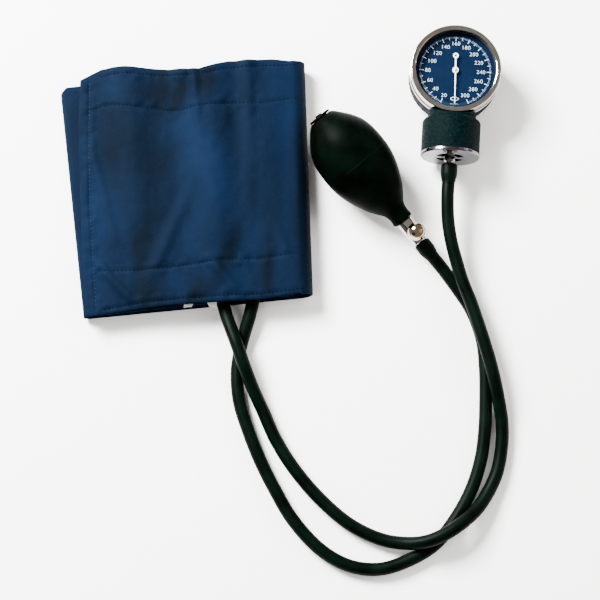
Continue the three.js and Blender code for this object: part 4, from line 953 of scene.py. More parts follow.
@dataclass
class CuffCover:
    """The upper cloth of the cuff: the flap and the upper side of its fold, with seams and folds.

    `wave` is the height of the long waves, how often they cross the flap and how far they lean;
    `ripples` are heights and widths of small folds; `pucker` is the height, grain and reach of the
    puckers beside a seam, and `fold_pucker` the height and grain of those on the fold.
    """

    plan: CuffPlan
    thickness: float = 1.8
    lift: float = 0.35
    length: float = 0.152
    flat_share: float = 0.93
    grid: tuple[int, int] = (184, 170)
    edge_drop: float = 0.9
    edge_width: float = 1.5
    fold_turn: float = 100.0
    bend: Point2 = (1.5, -8.5)
    stitch: Point3 = (0.85, 0.26, 0.22)
    stitch_rise: float = 0.12
    flap_size: Point2 = (137, 150)
    calm_share: float = 0.14
    wave: Point3 = (0.5, 21, 1.6)
    belly: float = 0.9
    ripples: tuple[Point2, ...] = ((0.35, 17), (0.16, 6))
    groove_width: float = 1.15
    pucker: Point3 = (0.75, 5.5, 5)
    pucker_end: float = 12
    fold_pucker: Point2 = (0.3, 9)
    creases: tuple[Crease, ...] = tuple(Crease(*row) for row in (
        ((-103, -6), (-112, 321.3), 11, 2.4), ((-52, -4), (-55, 332.8), 12, 2.6),
        ((-20, 68.9), (-12, 148), 9, 1.4), ((-79, 137.7), (-70, 142), 5, 1.6),
        ((-84, 316.7), (-62, 96), 3.2, 1.9), ((-40, 335.1), (-31, 108), 3.4, 1.6),
        ((-36, 211.1), (-30, 40), 6, 1.1), ((-66, 68.9), (-93, 4), 4.0, 1.1),
        ((-126, 23.0), (-98, -8), 3.0, 1.6), ((-131, 101.0), (-108, 14), 3.5, 1.2),
        ((-16, 45.9), (6, 4), 3.0, 1.1), ((-8, 137.7), (5, 100), 5.0, 1.0),
        ((-132, 293.8), (-112, 104), 4.0, 1.1), ((-60, 27.5), (-34, -2), 3.0, 1.2),
    ))
    # Patches of painted light (change above 0) and painted shade (change below 0) on the cloth.
    worn: tuple[Wear, ...] = tuple(Wear(*row) for row in (
        ((-97, 94), (8, 27), 4, -0.23), ((-80, 86), (7, 15), -24, -0.23), ((-75, 124), (4, 12), -14, -0.27),
        ((-95, 38), (9, 26), -24, -0.23), ((-45, 22), (5, 21), -22, -0.27), ((-59, 135), (9, 9), -30, -0.24),
        ((-19, 12), (3.5, 15), 0, -0.22), ((2.5, 54), (5, 72), 0, -0.32), ((-113, 30), (4, 18), 0, -0.11),
        ((-91, 127), (19, 13), 0, -0.22), ((-45, 114), (3, 12), 0, -0.14), ((-62, 0), (6, 10), -25, -0.22),
        ((-138, 40), (3, 70), 0, -0.14), ((-57, 84), (10, 30), 24, 0.22), ((-10, 105), (6, 18), 0, 0.16),
        ((-27, 41), (5, 16), 0, 0.14), ((-123, 51), (6, 26), 0, 0.05), ((-75, 6), (8, 10), 0, 0.14),
        ((-115, 128), (6, 9), 0, 0.14), ((-65, 38), (7, 20), -24, 0.14), ((-30, 96), (9, 18), 0, 0.08),
        ((-101, 2), (16, 9), 0, -0.12), ((-116, 84), (10, 28), 0, -0.12), ((-26, 74), (5, 24), -8, -0.08),
    ))
    seams: tuple[Seam, ...] = tuple(Seam(finish, path) for finish, path in (
        (PALE_THREAD, (
            (-131.3, 135.2), (-130.2, 90), (-129, 55), (-126.8, 30), (-125.2, 10), (-123.6, -8.0),
        )),
        (SEAM_THREAD, (
            (-130.1, 117.1), (-121.5, 120.1), (-108.4, 119.3), (-96, 117.7), (-82, 116.1), (-74.3, 116.1),
            (-58.2, 119.3), (-39.7, 120.5), (-20.1, 120.9), (-7.8, 123.7), (0.5, 125.3),
        )),
        (SEAM_THREAD, (
            (-122.2, 15.2), (-98.7, 15.2), (-79, 16.7), (-68.4, 18.3), (-50.2, 20.8), (-19.8, 22.6),
            (-6.1, 25.6), (3.0, 25.4),
        )),
        (SEAM_THREAD, ((-119.5, -8.6), (-96.8, -4.8), (-71.4, -2.4), (-45.4, -0.5), (-23, 0.7), (3.0, 4.2))),
        (SEAM_THREAD, (
            (-124, 138.6), (-109.6, 140.4), (-80.9, 138.6), (-62.9, 139.0), (-44.9, 143.2), (-17.5, 145.2),
            (-1, 146),
        )),
    ))

    def level(self, x: float, y: float) -> float:
        """Gives the top of the cloth over a spot.

        Args:
            x: place to the right.
            y: place upward.

        Returns:
            The height in millimetres.
        """
        plan, place = self.plan, Vector((x, y, 0))
        u, v = plan.shares(x, y)
        flap_share = held(u / plan.hinge_share)
        calm = held((1 - flap_share) / self.calm_share)
        rise, turns, lean = self.wave
        swell = rise + rise * math.sin(flap_share * turns + v * lean) * smooth_step(0, 0.3, flap_share)
        swell += self.belly * math.sin(math.pi * flap_share) * math.sin(math.pi * held(v))
        swell += sum(crease.rise(x, y) for crease in self.creases)
        swell += sum(ripple * noise.noise(place / size) for ripple, size in self.ripples)
        sewn = 0.0
        rise, grain, reach = self.pucker
        for seam in self.seams:
            away = nearest(x, y, seam.path)
            sewn += seam.groove * math.exp(-((away / self.groove_width) ** 2))
            if away < self.pucker_end:
                fine = noise.noise(place / grain + Vector((7, 3, 1)))
                swell += rise * fine * math.exp(-((away / reach) ** 2))
        return plan.settled(u, plan.stack) + self.lift + swell * calm - sewn * min(1.0, calm + 0.3)

    def spot(self, across: float, along: float) -> Point3:
        """Gives a place in the middle of the cloth.

        Args:
            across: share of its width.
            along: share of its height.

        Returns:
            The place on the table.
        """
        plan, half = self.plan, self.thickness / 2
        if across <= self.flat_share:
            u = across / self.flat_share
            x, y = plan.flap_spot(u, along)
            wide, high = self.flap_size
            rim = min(u * wide, along * high, (1 - along) * high)
            return (x, y, self.level(x, y) - half - self.edge_drop * math.exp(-rim / self.edge_width))
        turn = (across - self.flat_share) / (1 - self.flat_share) * math.radians(self.fold_turn)
        reach = plan.fold_radius - half
        x, y = plan.spot(plan.fold_share + reach * math.sin(turn) / plan.width, along)
        rise, grain = self.fold_pucker
        pucker = rise * noise.noise(Vector((x, y, 0)) / grain) * math.sin(turn)
        return (x, y, plan.fold_radius + (reach + pucker) * math.cos(turn) + self.lift * math.cos(turn))

    def stitches(self, seam: Seam) -> BMesh:
        """Lays the stitches of a seam on the cloth.

        Args:
            seam: the line that they follow.

        Returns:
            The stitches as small spindles.
        """
        shape = bmesh.new()
        for x, y, turn in seam.stations():
            middle = on_table(x, y, self.level(x, y) + self.stitch_rise)
            place = Matrix.Translation(middle) @ Matrix.Rotation(turn, 4, "Z")
            place = place @ Matrix.Diagonal((*(size * MM for size in self.stitch), 1))
            bmesh.ops.create_icosphere(shape, subdivisions=1, radius=1.0, matrix=place)
        return shape

    def build(self) -> Object:
        """Builds the cloth, which runs over the fold, and its stitches.

        Returns:
            The cloth.
        """
        plan = self.plan
        x, y = plan.spot(plan.hinge_share, 0.5)
        shape = grid_sheet(*self.grid, self.spot)
        area = area_of(shape)
        cloth = placed(shape, "cuff_cover", NAVY_NYLON)
        # Stores each point's painted light and painted shade from the patches.
        fade = cloth.data.attributes.new(PAINTED_SHADING_ATTRIBUTE, "FLOAT", "POINT")
        for corner, value in zip(cloth.data.vertices, fade.data):
            x, y, _ = corner.co / MM + KIT_MIDDLE
            value.value = sum(patch.at(x, y) for patch in self.worn)
        thicken(cloth, self.thickness)
        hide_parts("cuff_flap")
        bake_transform(cloth)
        sewn: list[Object] = []
        for finish in (PALE_THREAD, SEAM_THREAD):
            lines = gather(self.stitches(seam) for seam in self.seams if seam.finish == finish)
            sewn.append(placed(lines, f"stitches_{finish.name}", finish))
            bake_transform(sewn[-1])
        log.info("cuff cover: %d by %d faces, %.0f square centimetres", *self.grid, area * 1e4)
        return cloth


@dataclass
class CuffRoll:
    """The rest of the cuff's cloth: down the fold, along the table, round the left end and back.

    `fold_tuck` is how far the cloth is drawn in under the cover and up to which share of the fold, and
    `ripple` the height and size of its small folds and the level above which it has them.
    """

    plan: CuffPlan
    thickness: float = 1.2
    rows: int = 60
    length: float = 0.15
    cuff_height: float = 148
    fold_arc: Point2 = (8, -90)
    fold_tuck: Point2 = (1.35, 0.3)
    bend_steps: int = 12
    table_steps: int = 40
    leaf_steps: int = 70
    leaf_gap: float = 3
    ripple: Point3 = (0.25, 14, 6)

    def section(self) -> list[Point2]:
        """Draws the middle of the cloth from the fold to the end of the leaf.

        Returns:
            Shares of the cuff's width, with heights in millimetres.
        """
        plan, half = self.plan, self.thickness / 2
        bend, under, over = self.bend_steps, self.table_steps, self.leaf_steps
        depth, end = self.fold_tuck
        line: list[Point2] = []
        for step in range(bend + 1):
            angle = math.radians(mix(*self.fold_arc, step / bend))
            reach = plan.fold_radius - half - depth * (1 - smooth_step(0, end, step / bend))
            share = plan.fold_share + reach * math.cos(angle) / plan.width
            line.append((share, plan.fold_radius + reach * math.sin(angle)))
        radius = plan.settled(0, plan.leaf) / 2
        inner, last = radius / plan.width, plan.fold_share - self.leaf_gap / plan.width
        line.extend((mix(plan.fold_share, inner, step / under), half) for step in range(1, under + 1))
        turn = arc((0, radius), radius - half, 270, 90, bend)[1:]
        line.extend(((radius + x) / plan.width, z) for x, z in turn)
        shares = [mix(inner, last, step / over) for step in range(1, over + 1)]
        return [*line, *((share, plan.settled(share, plan.leaf) - half) for share in shares)]

    def build(self, with_pieces: Sequence[Object]) -> Object:
        """Sweeps the section along the fold.

        Args:
            with_pieces: pieces that are sewn to it; not used.

        Returns:
            The cloth.
        """
        plan, line = self.plan, self.section()
        rise, size, floor = self.ripple

        def spot(across: float, along: float) -> Point3:
            """Gives a place on the swept cloth.

            Args:
                across: share of the section.
                along: share of the cuff's height.

            Returns:
                The place on the table.
            """
            share, z = line[round(across * (len(line) - 1))]
            shear = max(0.0, plan.corner_cut - share * plan.width) / self.cuff_height
            x, y = plan.spot(share, along * (1 - shear))
            ripple = rise * noise.noise(Vector((x, y, z)) / size)
            return (x, y, z + (ripple if z > floor else 0))

        shape = grid_sheet(len(line) - 1, self.rows, spot)
        area = area_of(shape)
        cloth = thicken(piece("cuff_roll", shape, NAVY_NYLON, Body.KIT, ["cuff_wrap"], 180), self.thickness)
        return cloth


@dataclass(frozen=True)
class Tape:
    """A flat strip: its CAD node, its body, its edges as shares of the cuff, its level and how it settles."""

    name: str
    node: str
    finish: Finish
    body: Body
    area: tuple[float, float, float, float]
    level: float
    thickness: float = 0.7
    sink: float = 1.0

    def build(self, plan: CuffPlan) -> Object:
        """Lays the strip.

        Args:
            plan: the cuff that it lies in.

        Returns:
            The strip.
        """
        left, right, low, high = self.area

        def spot(across: float, along: float) -> Point3:
            """Gives a place on the strip."""
            u, level = mix(left, right, across), self.level
            return (*plan.spot(u, mix(low, high, along)), mix(level, plan.settled(u, level), self.sink))

        sheet = grid_sheet(36, 40, spot)
        return thicken(piece(self.name, sheet, self.finish, self.body, [self.node], 180), self.thickness)


@dataclass
class CuffTapes:
    """The tapes, the lining and the care label that are sewn to the cuff."""

    plan: CuffPlan
    label_middle: Point2 = (-60.5, 0.6)
    label_size: Point2 = (20.0, 16.0)
    label_level: float = 13.6
    label_tuck: float = 4.5
    label_notch: tuple[Point2, Point2] = ((0.22, 0.36), (0.66, 0.8))
    label_curl: Point2 = (0.5, 7)
    label_wave: Point2 = (0.4, 9)
    label_thickness: float = 0.3
    hook_flat: Point2 = (0.30 * 146.0 * MM, 0.74 * 0.148)
    strips: tuple[Tape, ...] = (
        Tape("hook_tape", "hook_patch", NAVY_PILE, Body.FLAP, (0.10, 0.40, 0.12, 0.86), 14.9),
        Tape("loop_tape", "loop_patch", NAVY_PILE, Body.KIT, (0.09, 0.44, 0.09, 0.90), 13.8),
        Tape("inner_lining", "cuff_lining", NAVY_LINING, Body.KIT, (0.035, 0.92, 0.01, 0.985), 2.8, 0.9, 0.0),
    )

    def label_spot(self, across: float, along: float) -> Point3:
        """Gives a place on the care label, whose lower edge is tucked in and curled a little.

        Args:
            across: share of its width.
            along: share of its height.

        Returns:
            The place on the table.
        """
        (middle_x, middle_y), (width, height) = self.label_middle, self.label_size
        (start, end), (lift, turns), (sway, bends) = self.label_notch, self.label_curl, self.label_wave
        curl = lift * (1 - along) ** 3 * math.sin(across * turns)
        x, y = middle_x + (across - 0.5) * width, middle_y + (along - 0.5) * height
        tuck = smooth_step(*start, across) * (1 - smooth_step(*end, across))
        y += self.label_tuck * tuck * (1 - along)
        u = self.plan.shares(x, y)[0]
        return (x, y + sway * math.sin(across * bends), self.plan.settled(u, self.label_level) + curl)

    def build(self) -> list[Object]:
        """Returns:
            The pieces that are sewn to the roll.
        """
        hook, loop, lining = (strip.build(self.plan) for strip in self.strips)
        sheet = grid_sheet(30, 12, self.label_spot)
        label = piece("care_label_tape", sheet, LABEL_TAPE, Body.KIT, ["care_label"], 180)
        return [loop, lining, thicken(label, self.label_thickness)]


@dataclass
class Bladder:
    """The air bladder between the layers, with its two hose ports."""

    plan: CuffPlan
    area: tuple[float, float, float, float] = (0.07, 0.90, 0.13, 0.93)
    floor: float = 3.7
    roof: float = 11.5
    rim: float = 9.0
    cuts: int = 26
    fill: float = 0.3
    rim_share: float = 0.04
    ripple: Point3 = (0.12, 33, 21)

    def spot(self, x: float, y: float, z: float) -> Vector:
        """Swells a cube's corner into the cushion.

        Args:
            x: place across, from -0.5 to 0.5.
            y: place along, from -0.5 to 0.5.
            z: side, from -0.5 to 0.5.

        Returns:
            The place in the shared frame.
        """
        left, right, low, high = self.area
        u, v = mix(left, right, x + 0.5), mix(low, high, y + 0.5)
        edge = min((0.5 - abs(x)) * (right - left), (0.5 - abs(y)) * (high - low)) * self.plan.width
        plump = math.sqrt(max(self.rim_share, 1 - (1 - min(1.0, edge / self.rim)) ** 2))
        top = self.plan.settled(u, self.roof)
        half = (top - self.floor) / 2 * plump
        rise, across, along = self.ripple
        ripple = rise * math.sin(u * across) * math.sin(v * along)
        level = (self.floor + top) / 2 + 2 * z * half + ripple * plump * (z - 0.5)
        return on_table(*self.plan.spot(u, v), level)

    def build(self) -> Object:
        """Builds the cushion and its ports.

        Returns:
            The cushion.
        """
        shape = bmesh.new()
        bmesh.ops.create_cube(shape, size=1.0)
        bmesh.ops.subdivide_edges(shape, edges=shape.edges, cuts=self.cuts, use_grid_fill=True)
        for corner in shape.verts:
            corner.co = self.spot(*corner.co)
        bmesh.ops.recalc_face_normals(shape, faces=shape.faces)
        cushion = piece("bladder_cushion", shape, DULL_RUBBER, Body.KIT, ["air_bladder"], 60)
        for node in ("bladder_gauge_port", "bladder_bulb_port"):
            dressed(node, DULL_RUBBER, Body.KIT, 0.25)
        return cushion


@dataclass
class Hose:
    """A free rubber tube that lies on the table."""

    name: str
    start: Point3
    aim: Point3
    route: tuple[Point3, ...]
    end: Point3
    end_aim: Point3
    length: float
    radius: float = 4.0
    port_run: float = 4.0
    socket_run: float = 8.0
    steps: int = 10

    def line(self) -> list[Vector]:
        """Draws the tube's middle line as an even curve through its route.

        Returns:
            Points of the line, in metres.
        """
        first, last = on_table(*self.start), on_table(*self.end)
        corners = [
            first, first + Vector(self.aim) * self.port_run * MM, *(on_table(*place) for place in self.route),
            last + Vector(self.end_aim) * self.socket_run * MM, last,
        ]
        ends = [2 * first - corners[1], *corners, 2 * last - corners[-2]]
        found: list[Vector] = []
        for a, b, c, d in zip(ends, ends[1:], ends[2:], ends[3:]):
            before, span, after = ((q - p).length ** 0.5 for p, q in ((a, b), (b, c), (c, d)))
            leave = ((b - a) / before - (c - a) / (before + span) + (c - b) / span) * span
            reach = ((c - b) / span - (d - b) / (span + after) + (d - c) / after) * span
            for step in range(self.steps):
                t = step / self.steps
                found.append(
                    b * (2 * t ** 3 - 3 * t * t + 1) + leave * (t ** 3 - 2 * t * t + t)
                    + c * (3 * t * t - 2 * t ** 3) + reach * (t ** 3 - t * t)
                )
        return [*found, last]

    def build(self, fitting: Object) -> Object:
        """Args:
            fitting: the stretched end that goes with it; not used.

        Returns:
            The tube.
        """
        line = self.line()
        data = bpy.data.curves.new(f"{self.name}_hose", "CURVE")
        data.dimensions = "3D"
        data.bevel_depth = self.radius * MM
        data.bevel_resolution = 8
        data.use_fill_caps = True
        spline = data.splines.new("POLY")
        spline.points.add(len(line) - 1)
        for point, place in zip(spline.points, line):
            point.co = (*place, 1)
        spline.use_smooth = True
        data.materials.append(TUBE_RUBBER.material())
        item = linked(f"{self.name}_hose", data)
        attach(item, Body.KIT.value)
        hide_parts(self.name)
        log.info("%s: %d points", item.name, len(line))
        return item


@dataclass
class HoseEnd:
    """The end of a tube, stretched over its fitting so that it bulges with rounded shoulders.

    `outside` and `inside` hold radii with distances from its start.
    """

    name: str
    place: Matrix
    start: float
    outside: tuple[Point2, ...] = (
        (3.95, 0.0), (4.4, 0.25), (4.75, 0.65), (5.1, 1.6), (5.1, 6.3), (4.86, 8.0), (4.45, 9.8), (4.0, 11.7),
        (4.02, 12.4),
    )
    inside: tuple[Point2, ...] = ((2.3, 12.4), (3.4, 9.3), (3.4, 0.0))

    def build(self) -> Object:
        """Turns the end.

        Returns:
            The piece.
        """
        outside, inside = ([(r, self.start + z) for r, z in side] for side in (self.outside, self.inside))
        shape = turned([*smooth_line(outside, 5), *inside], self.place)
        return piece(f"{self.name}_stretched", shape, TUBE_RUBBER, Body.KIT, [self.name])


@dataclass
class Bulb:
    """The squeeze bulb: a hollow rubber pear with a mould seam and lips, and its inlet valve.

    `shape` holds shares of the length with shares of the radius, `seam` shifts along the bulb with
    shares of the seam's rise, and `hollow` and `sockets` distances from the mouth and the neck.
    """

    place: Matrix
    length: float = 80.4
    radius: float = 22.3
    wall: float = 2.4
    shape: tuple[Point2, ...] = (
        (0.0, 0.34), (0.03, 0.46), (0.077, 0.6), (0.137, 0.767), (0.212, 0.91), (0.3, 0.975), (0.42, 1.0),
        (0.523, 0.965), (0.6, 0.9), (0.682, 0.79), (0.77, 0.62), (0.82, 0.53), (0.88, 0.354), (0.935, 0.29),
        (1.0, 0.3),
    )
    smoothing: int = 24
    smoothed: Point2 = (6, 70)
    bore: float = 4.9
    hollow: Point2 = (9, 11)
    sockets: Point2 = (8.9, 10.5)
    seam_station: float = 36.6
    seam_room: float = 1.6
    seam_rise: float = 0.16
    seam: tuple[Point2, ...] = ((-1.35, 0), (-0.54, 0), (-0.225, 1), (0.225, 1), (0.54, 0), (1.35, 0))

    def outer(self) -> list[Point2]:
        """Draws the outside from the mouth to the neck, with its seam and its lips.

        Returns:
            Radii and stations.
        """
        line = smooth_line([(out * self.radius, along * self.length) for along, out in self.shape], 7)
        low, high = self.smoothed
        for _ in range(self.smoothing):
            inner = zip(line, line[1:], line[2:])
            eased = [((a[0] + 2 * b[0] + c[0]) / 4, b[1]) if low < b[1] < high else b for a, b, c in inner]
            line = [line[0], *eased, line[-1]]
        kept = [point for point in line if abs(point[1] - self.seam_station) > self.seam_room]
        radius = height_along([(z, r) for r, z in line], self.seam_station)
        kept.extend((radius + rise * self.seam_rise, self.seam_station + shift) for shift, rise in self.seam)
        kept.sort(key=lambda point: point[1])
        lips = [(0.0, -0.45), (0.5, -0.1), (self.length - 0.6, -0.02), (self.length, -0.5)]
        return [(r + height_along(lips, z) * (z < 0.6 or z > self.length - 0.7), z) for r, z in kept]

    def build(self) -> Object:
        """Builds the bulb and dresses its inlet valve.

        Returns:
            The bulb.
        """
        outer, bore, length, (low, high) = self.outer(), self.bore, self.length, self.hollow
        inner = [(max(bore, r - self.wall), z) for r, z in outer if low < z < length - high]
        neck = [(bore, length), (bore, length - self.sockets[1])]
        profile = [*outer, *neck, *reversed(inner), (bore, self.sockets[0]), (bore, 0)]
        pear = turned(profile, self.place, 128)
        bulb = piece("squeeze_bulb", pear, BULB_RUBBER, Body.KIT, ["rubber_bulb"], 50)
        dressed("inlet_valve_body", DULL_RUBBER, Body.KIT, 0.35)
        return bulb


@dataclass
class ReleaseValve:
    """The chrome release valve on the bulb's neck, with its ball-shaped thumb screw."""

    boss: Matrix
    foot: float = 6.9
    foot_radius: float = 4.1
    knob_radius: float = 5.7
    knob_centre: float = 10.5
    shank: tuple[Point2, ...] = ((0, 1.2), (1.9, 1.2), (1.9, 7.0), (0, 7.0))

    def knob_cap(self) -> BMesh:
        """Turns the polished shell of the knob over the CAD screw's head.

        Returns:
            The shape.
        """
        foot, out = self.foot, self.foot_radius
        below = [(0, foot), (out - 0.3, foot), (out, foot + 0.3), (out + 0.1, foot + 0.7), (4.75, foot + 1.1)]
        dome = arc((0, self.knob_centre), self.knob_radius, -24, 90, 24)
        return turned([*below, *dome[:-1], (0, dome[-1][1])], self.boss)

    def build(self) -> Object:
        """Builds the body, the knob and its shank.

        Returns:
            The body.
        """
        body = dressed("release_valve_body", CHROME, Body.KIT, 0.3)
        piece("thumb_screw_knob", self.knob_cap(), CHROME_PAINTED_WARM_REFLECTION, Body.SCREW, ["thumb_screw"], 50)
        piece("thumb_screw_shank", turned(self.shank, self.boss, 48), CHROME, Body.SCREW)
        return body


@dataclass
class Gauge:
    """The gauge: wrinkle-painted bowl and drum, chrome rings, printed dial, pointer and glass.

    `ticks` holds steps of the scale with the inner radius and width of their ticks, `digit_half` half
    a digit's width and height, and `letter_rise` the depth of letters and their height over the dial.
    """

    middle: Vector = field(default_factory=lambda: on_table(95.8, 139.1))
    lean: float = 4.0
    dial_turn: float = 2.5
    flange: Point2 = levels("flange_ring")
    flange_radius: float = 28.4
    flange_bore: float = 24.2
    flange_rounding: float = 0.7
    bezel: Point2 = levels("bezel")
    bezel_radius: float = 27.9
    bezel_wall: float = 1.4
    bezel_rounding: float = 0.8
    lip: float = 0.9
    window: float = 24.7
    dial: Point2 = levels("dial_plate")
    dial_radius: float = 26.2
    dial_bore: float = 2.0
    spacer: Point2 = levels("spacer_ring")
    spacer_bore: float = 24.6
    crystal: Point2 = levels("crystal")
    neck_height: float = sum(levels("end_cap")) / 2
    hand_level: float = levels("pointer")[1]
    top_value: int = 300
    degrees_per_unit: float = 1.125
    tick_end: float = 22.2
    ticks: tuple[tuple[int, float, float], ...] = ((20, 19.5, 0.34), (10, 20.2, 0.26), (2, 21.1, 0.07))
    print_rise: float = 0.05
    small_step: int = 2
    large_step: int = 20
    number_ring: float = 19.1
    number_size: float = 3.5
    digit_half: Point2 = (1.08, 1.25)
    unit_size: float = 1.9
    unit_drop: float = 21.1
    oval_drop: float = 17.9
    oval_half: Point2 = (2.6, 1.2)
    oval_bore: float = 0.82
    letter_rise: Point2 = (0.02, 0.03)
    letter_trim: float = -0.068
    letter_space: float = 1.08

    def upright(self) -> Matrix:
        """Gives the place of pieces that turn round the dial's axis."""
        return axes(self.middle, UP, RIGHT)

    def neck(self) -> Matrix:
        """Gives the place of pieces on the neck, their Z away from the dial."""
        ahead = Vector((-math.sin(math.radians(self.lean)), -math.cos(math.radians(self.lean)), 0))
        return axes(self.middle + Vector((0, 0, self.neck_height * MM)), ahead, UP)

    def face(self) -> Matrix:
        """Gives the place of the print: X to the right and Y up as the dial is read."""
        return self.upright() @ Matrix.Rotation(math.radians(-self.dial_turn), 4, "Z")

    def spun(
        self, name: str, profile: Sequence[Point2], finish: Finish, node: str, steps: int = 160,
    ) -> Object:
        """Turns a fixed piece round the dial's axis that is shown instead of a CAD node."""
        return piece(name, turned(profile, self.upright(), steps), finish, Body.KIT, [node])

    def rings(self) -> None:
        """Turns the flange ring, the bezel and the spacer."""
        (low, high), out, edge = self.flange, self.flange_radius, self.flange_rounding
        self.spun("flange_ring_polished", [
            (self.flange_bore, low), (out - edge, low), *arc((out - edge, low + edge), edge, -70, 0, 4),
            *arc((out - edge, high - edge), edge, 0, 90, 6), (self.flange_bore, high),
        ], CHROME, "flange_ring")
        (low, high), out, edge = self.bezel, self.bezel_radius, self.bezel_rounding
        self.spun("bezel_polished", [
            (out - self.bezel_wall, low), (out - 0.2, low), (out, low + 0.2), (out, low + 1.5),
            (out - 0.25, low + 1.75), (out, low + 2.0), *arc((out - edge, high - edge), edge, 0, 90, 8),
            (self.window + 0.9, high), (self.window + 0.3, high - 0.12), (self.window, high - 0.45),
            (self.window, high - self.lip), (out - self.bezel_wall, high - self.lip),
        ], CHROME, "bezel")
        (low, high), out, bore = self.spacer, self.dial_radius, self.spacer_bore
        self.spun("dial_shadow_ring", [
            (bore, low), (out, low), (out, high), (bore + 0.15, high), (bore, high - 0.15),
        ], DARK_RING, "spacer_ring")

    def window_and_dial(self) -> None:
        """Turns the glass and the enamelled dial under it."""
        (low, high), out = self.crystal, self.dial_radius
        disc = [(0, low), (out - 0.2, low), (out, low + 0.2), (out, high - 0.2), (out - 0.2, high), (0, high)]
        self.spun("dial_glass", disc, GLASS, "crystal", 128)
        (low, high), bore = self.dial, self.dial_bore
        enamel = DialEnamel(
            "dial_enamel", "dial_blue", (0.0007, 0.0039, 0.013), (0.0009, 0.0049, 0.0156), 0.42,
            tuple(self.middle),
        )
        disc = [(bore, low), (out, low), (out, high - 0.1), (out - 0.1, high), (bore, high)]
        self.spun("dial_face", disc, enamel, "dial_plate", 128)

    def tick(self, value: int) -> BMesh:
        """Prints the tick of a value as a thin block.

        Args:
            value: pressure that it stands at.

        Returns:
            The block.
        """
        inner, width = next((start, wide) for every, start, wide in self.ticks if value % every == 0)
        spoke = Matrix.Rotation(math.radians(-180 - value * self.degrees_per_unit), 4, "Z")
        middle = Matrix.Translation((0, (inner + self.tick_end) / 2, self.dial[1] + self.print_rise / 2))
        size = Matrix.Diagonal((width, self.tick_end - inner, self.print_rise, 1))
        shape = bmesh.new()
        bmesh.ops.create_cube(shape, size=1.0, matrix=self.face() @ spoke @ middle @ size)
        return shape

    def word(self, text: str, size: float, x: float, y: float) -> BMesh:
        """Prints upright text as thin raised letters.

        Args:
            text: number or unit.
            size: size of the letters in millimetres.
            x: its middle, to the right of the dial's centre.
            y: its middle, up from the dial's centre.

        Returns:
            The letters.
        """
        data = bpy.data.curves.new("word", "FONT")
        data.body = text
        data.size = size
        data.align_x = "CENTER"
        data.extrude, above = self.letter_rise
        data.offset = self.letter_trim
        data.space_character = self.letter_space
        data.resolution_u = 4
        letters = linked("word", data)
        bpy.context.view_layer.update()
        shape = bmesh.new()
        shape.from_mesh(letters.to_mesh())
        letters.to_mesh_clear()
        bpy.data.objects.remove(letters)
        bpy.data.curves.remove(data)
        bmesh.ops.remove_doubles(shape, verts=shape.verts, dist=1e-5)
        shift = Matrix.Translation((x, y - 0.35 * size, self.dial[1] + above))
        bmesh.ops.transform(shape, matrix=self.face() @ shift, verts=shape.verts)
        return shape

    def number(self, value: int) -> BMesh:
        """Prints the number of a value inside its tick, the further in the wider it is there.

        Args:
            value: pressure that it stands at.

        Returns:
            The letters.
        """
        turn = math.radians(value * self.degrees_per_unit)
        across, along = math.sin(turn), math.cos(turn)
        wide, high = self.digit_half
        radius = self.number_ring - wide * len(str(value)) * abs(across) - high * abs(along)
        return self.word(str(value), self.number_size, -radius * across, -radius * along)

    def print_work(self) -> Object:
        """Prints the oval at zero, the unit, the scale and the numbers as one piece.

        Returns:
            The print.
        """
        oval = self.face() @ Matrix.Translation((0, -self.oval_drop, self.dial[1]))
        oval = oval @ Matrix.Diagonal((*self.oval_half, 1, 1))
        rise, bore, last = self.print_rise, self.oval_bore, self.top_value + 1
        marks = [
            turned([(bore, 0.0), (1.0, 0.0), (1.0, rise), (bore, rise)], oval, 48),
            self.word("mmHg", self.unit_size, 0, -self.unit_drop),
            *(self.tick(value) for value in range(self.large_step, last, self.small_step)),
            *(self.number(value) for value in range(self.large_step, last, self.large_step)),
        ]
        return piece("dial_print", gather(marks), WHITE_PRINT, Body.KIT, (), 30)

    def build(self) -> None:
        """Builds the whole gauge."""
        dressed("gauge_case", CASE_PAINT, Body.KIT, 0.5)
        dressed("end_cap", SATIN_CHROME_PAINTED_SHADE, Body.KIT, 0.25)
        self.rings()
        self.window_and_dial()
        self.print_work()
        dressed("pointer", WHITE_ENAMEL, Body.POINTER, 0.06)
        top = self.hand_level
        boss = [(0, top - 0.2), (1.0, top - 0.2), (1.0, top + 0.25), (0.75, top + 0.5), (0, top + 0.6)]
        piece("pointer_boss", turned(boss, self.upright(), 40), GILT, Body.POINTER)
        dressed("hose_nipple", CHROME, Body.KIT, 0.15)


@dataclass
class Works:
    """The gauge's movement and the small valve parts, which keep their CAD forms."""

    brass: tuple[str, ...] = (
        "diaphragm_capsule", "movement_bottom_plate", "movement_top_plate", "pinion", "sector_gear",
        "movement_pillar_1", "movement_pillar_2", "movement_pillar_3", "check_valve_seat",
    )
    steel: tuple[str, ...] = (
        "sector_arbor", "lever_arm", "push_rod", "hairspring", "plate_screw_1", "plate_screw_2",
        "plate_screw_3", "check_valve_ball", "inlet_valve_cage",
    )
    rubber: tuple[str, ...] = ("inlet_valve_flap", "relief_pad", "screw_seal")

    def build(self) -> None:
        """Paints each piece with its finish."""
        for finish, nodes in ((BRASS, self.brass), (STEEL, self.steel), (DULL_RUBBER, self.rubber)):
            for node in nodes:
                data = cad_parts[node].data
                data.materials.clear()
                data.materials.append(finish.material())
            log.info("%s: %d pieces of the works", finish.name, len(nodes))


@dataclass(frozen=True)
class Softbox:
    name: str
    place: Point3
    size: float
    power: float
    tint: Colour
    mirrored: bool = True

    def hang(self) -> Object:
        """Hangs the light.

        Returns:
            The light.
        """
        data = bpy.data.lights.new(self.name, "AREA")
        data.size = self.size
        data.energy = self.power
        data.color = self.tint
        item = linked(self.name, data)
        item.location = self.place
        item.rotation_euler = (-Vector(self.place)).to_track_quat("-Z", "Y").to_euler()
        item.visible_glossy = self.mirrored
        return item


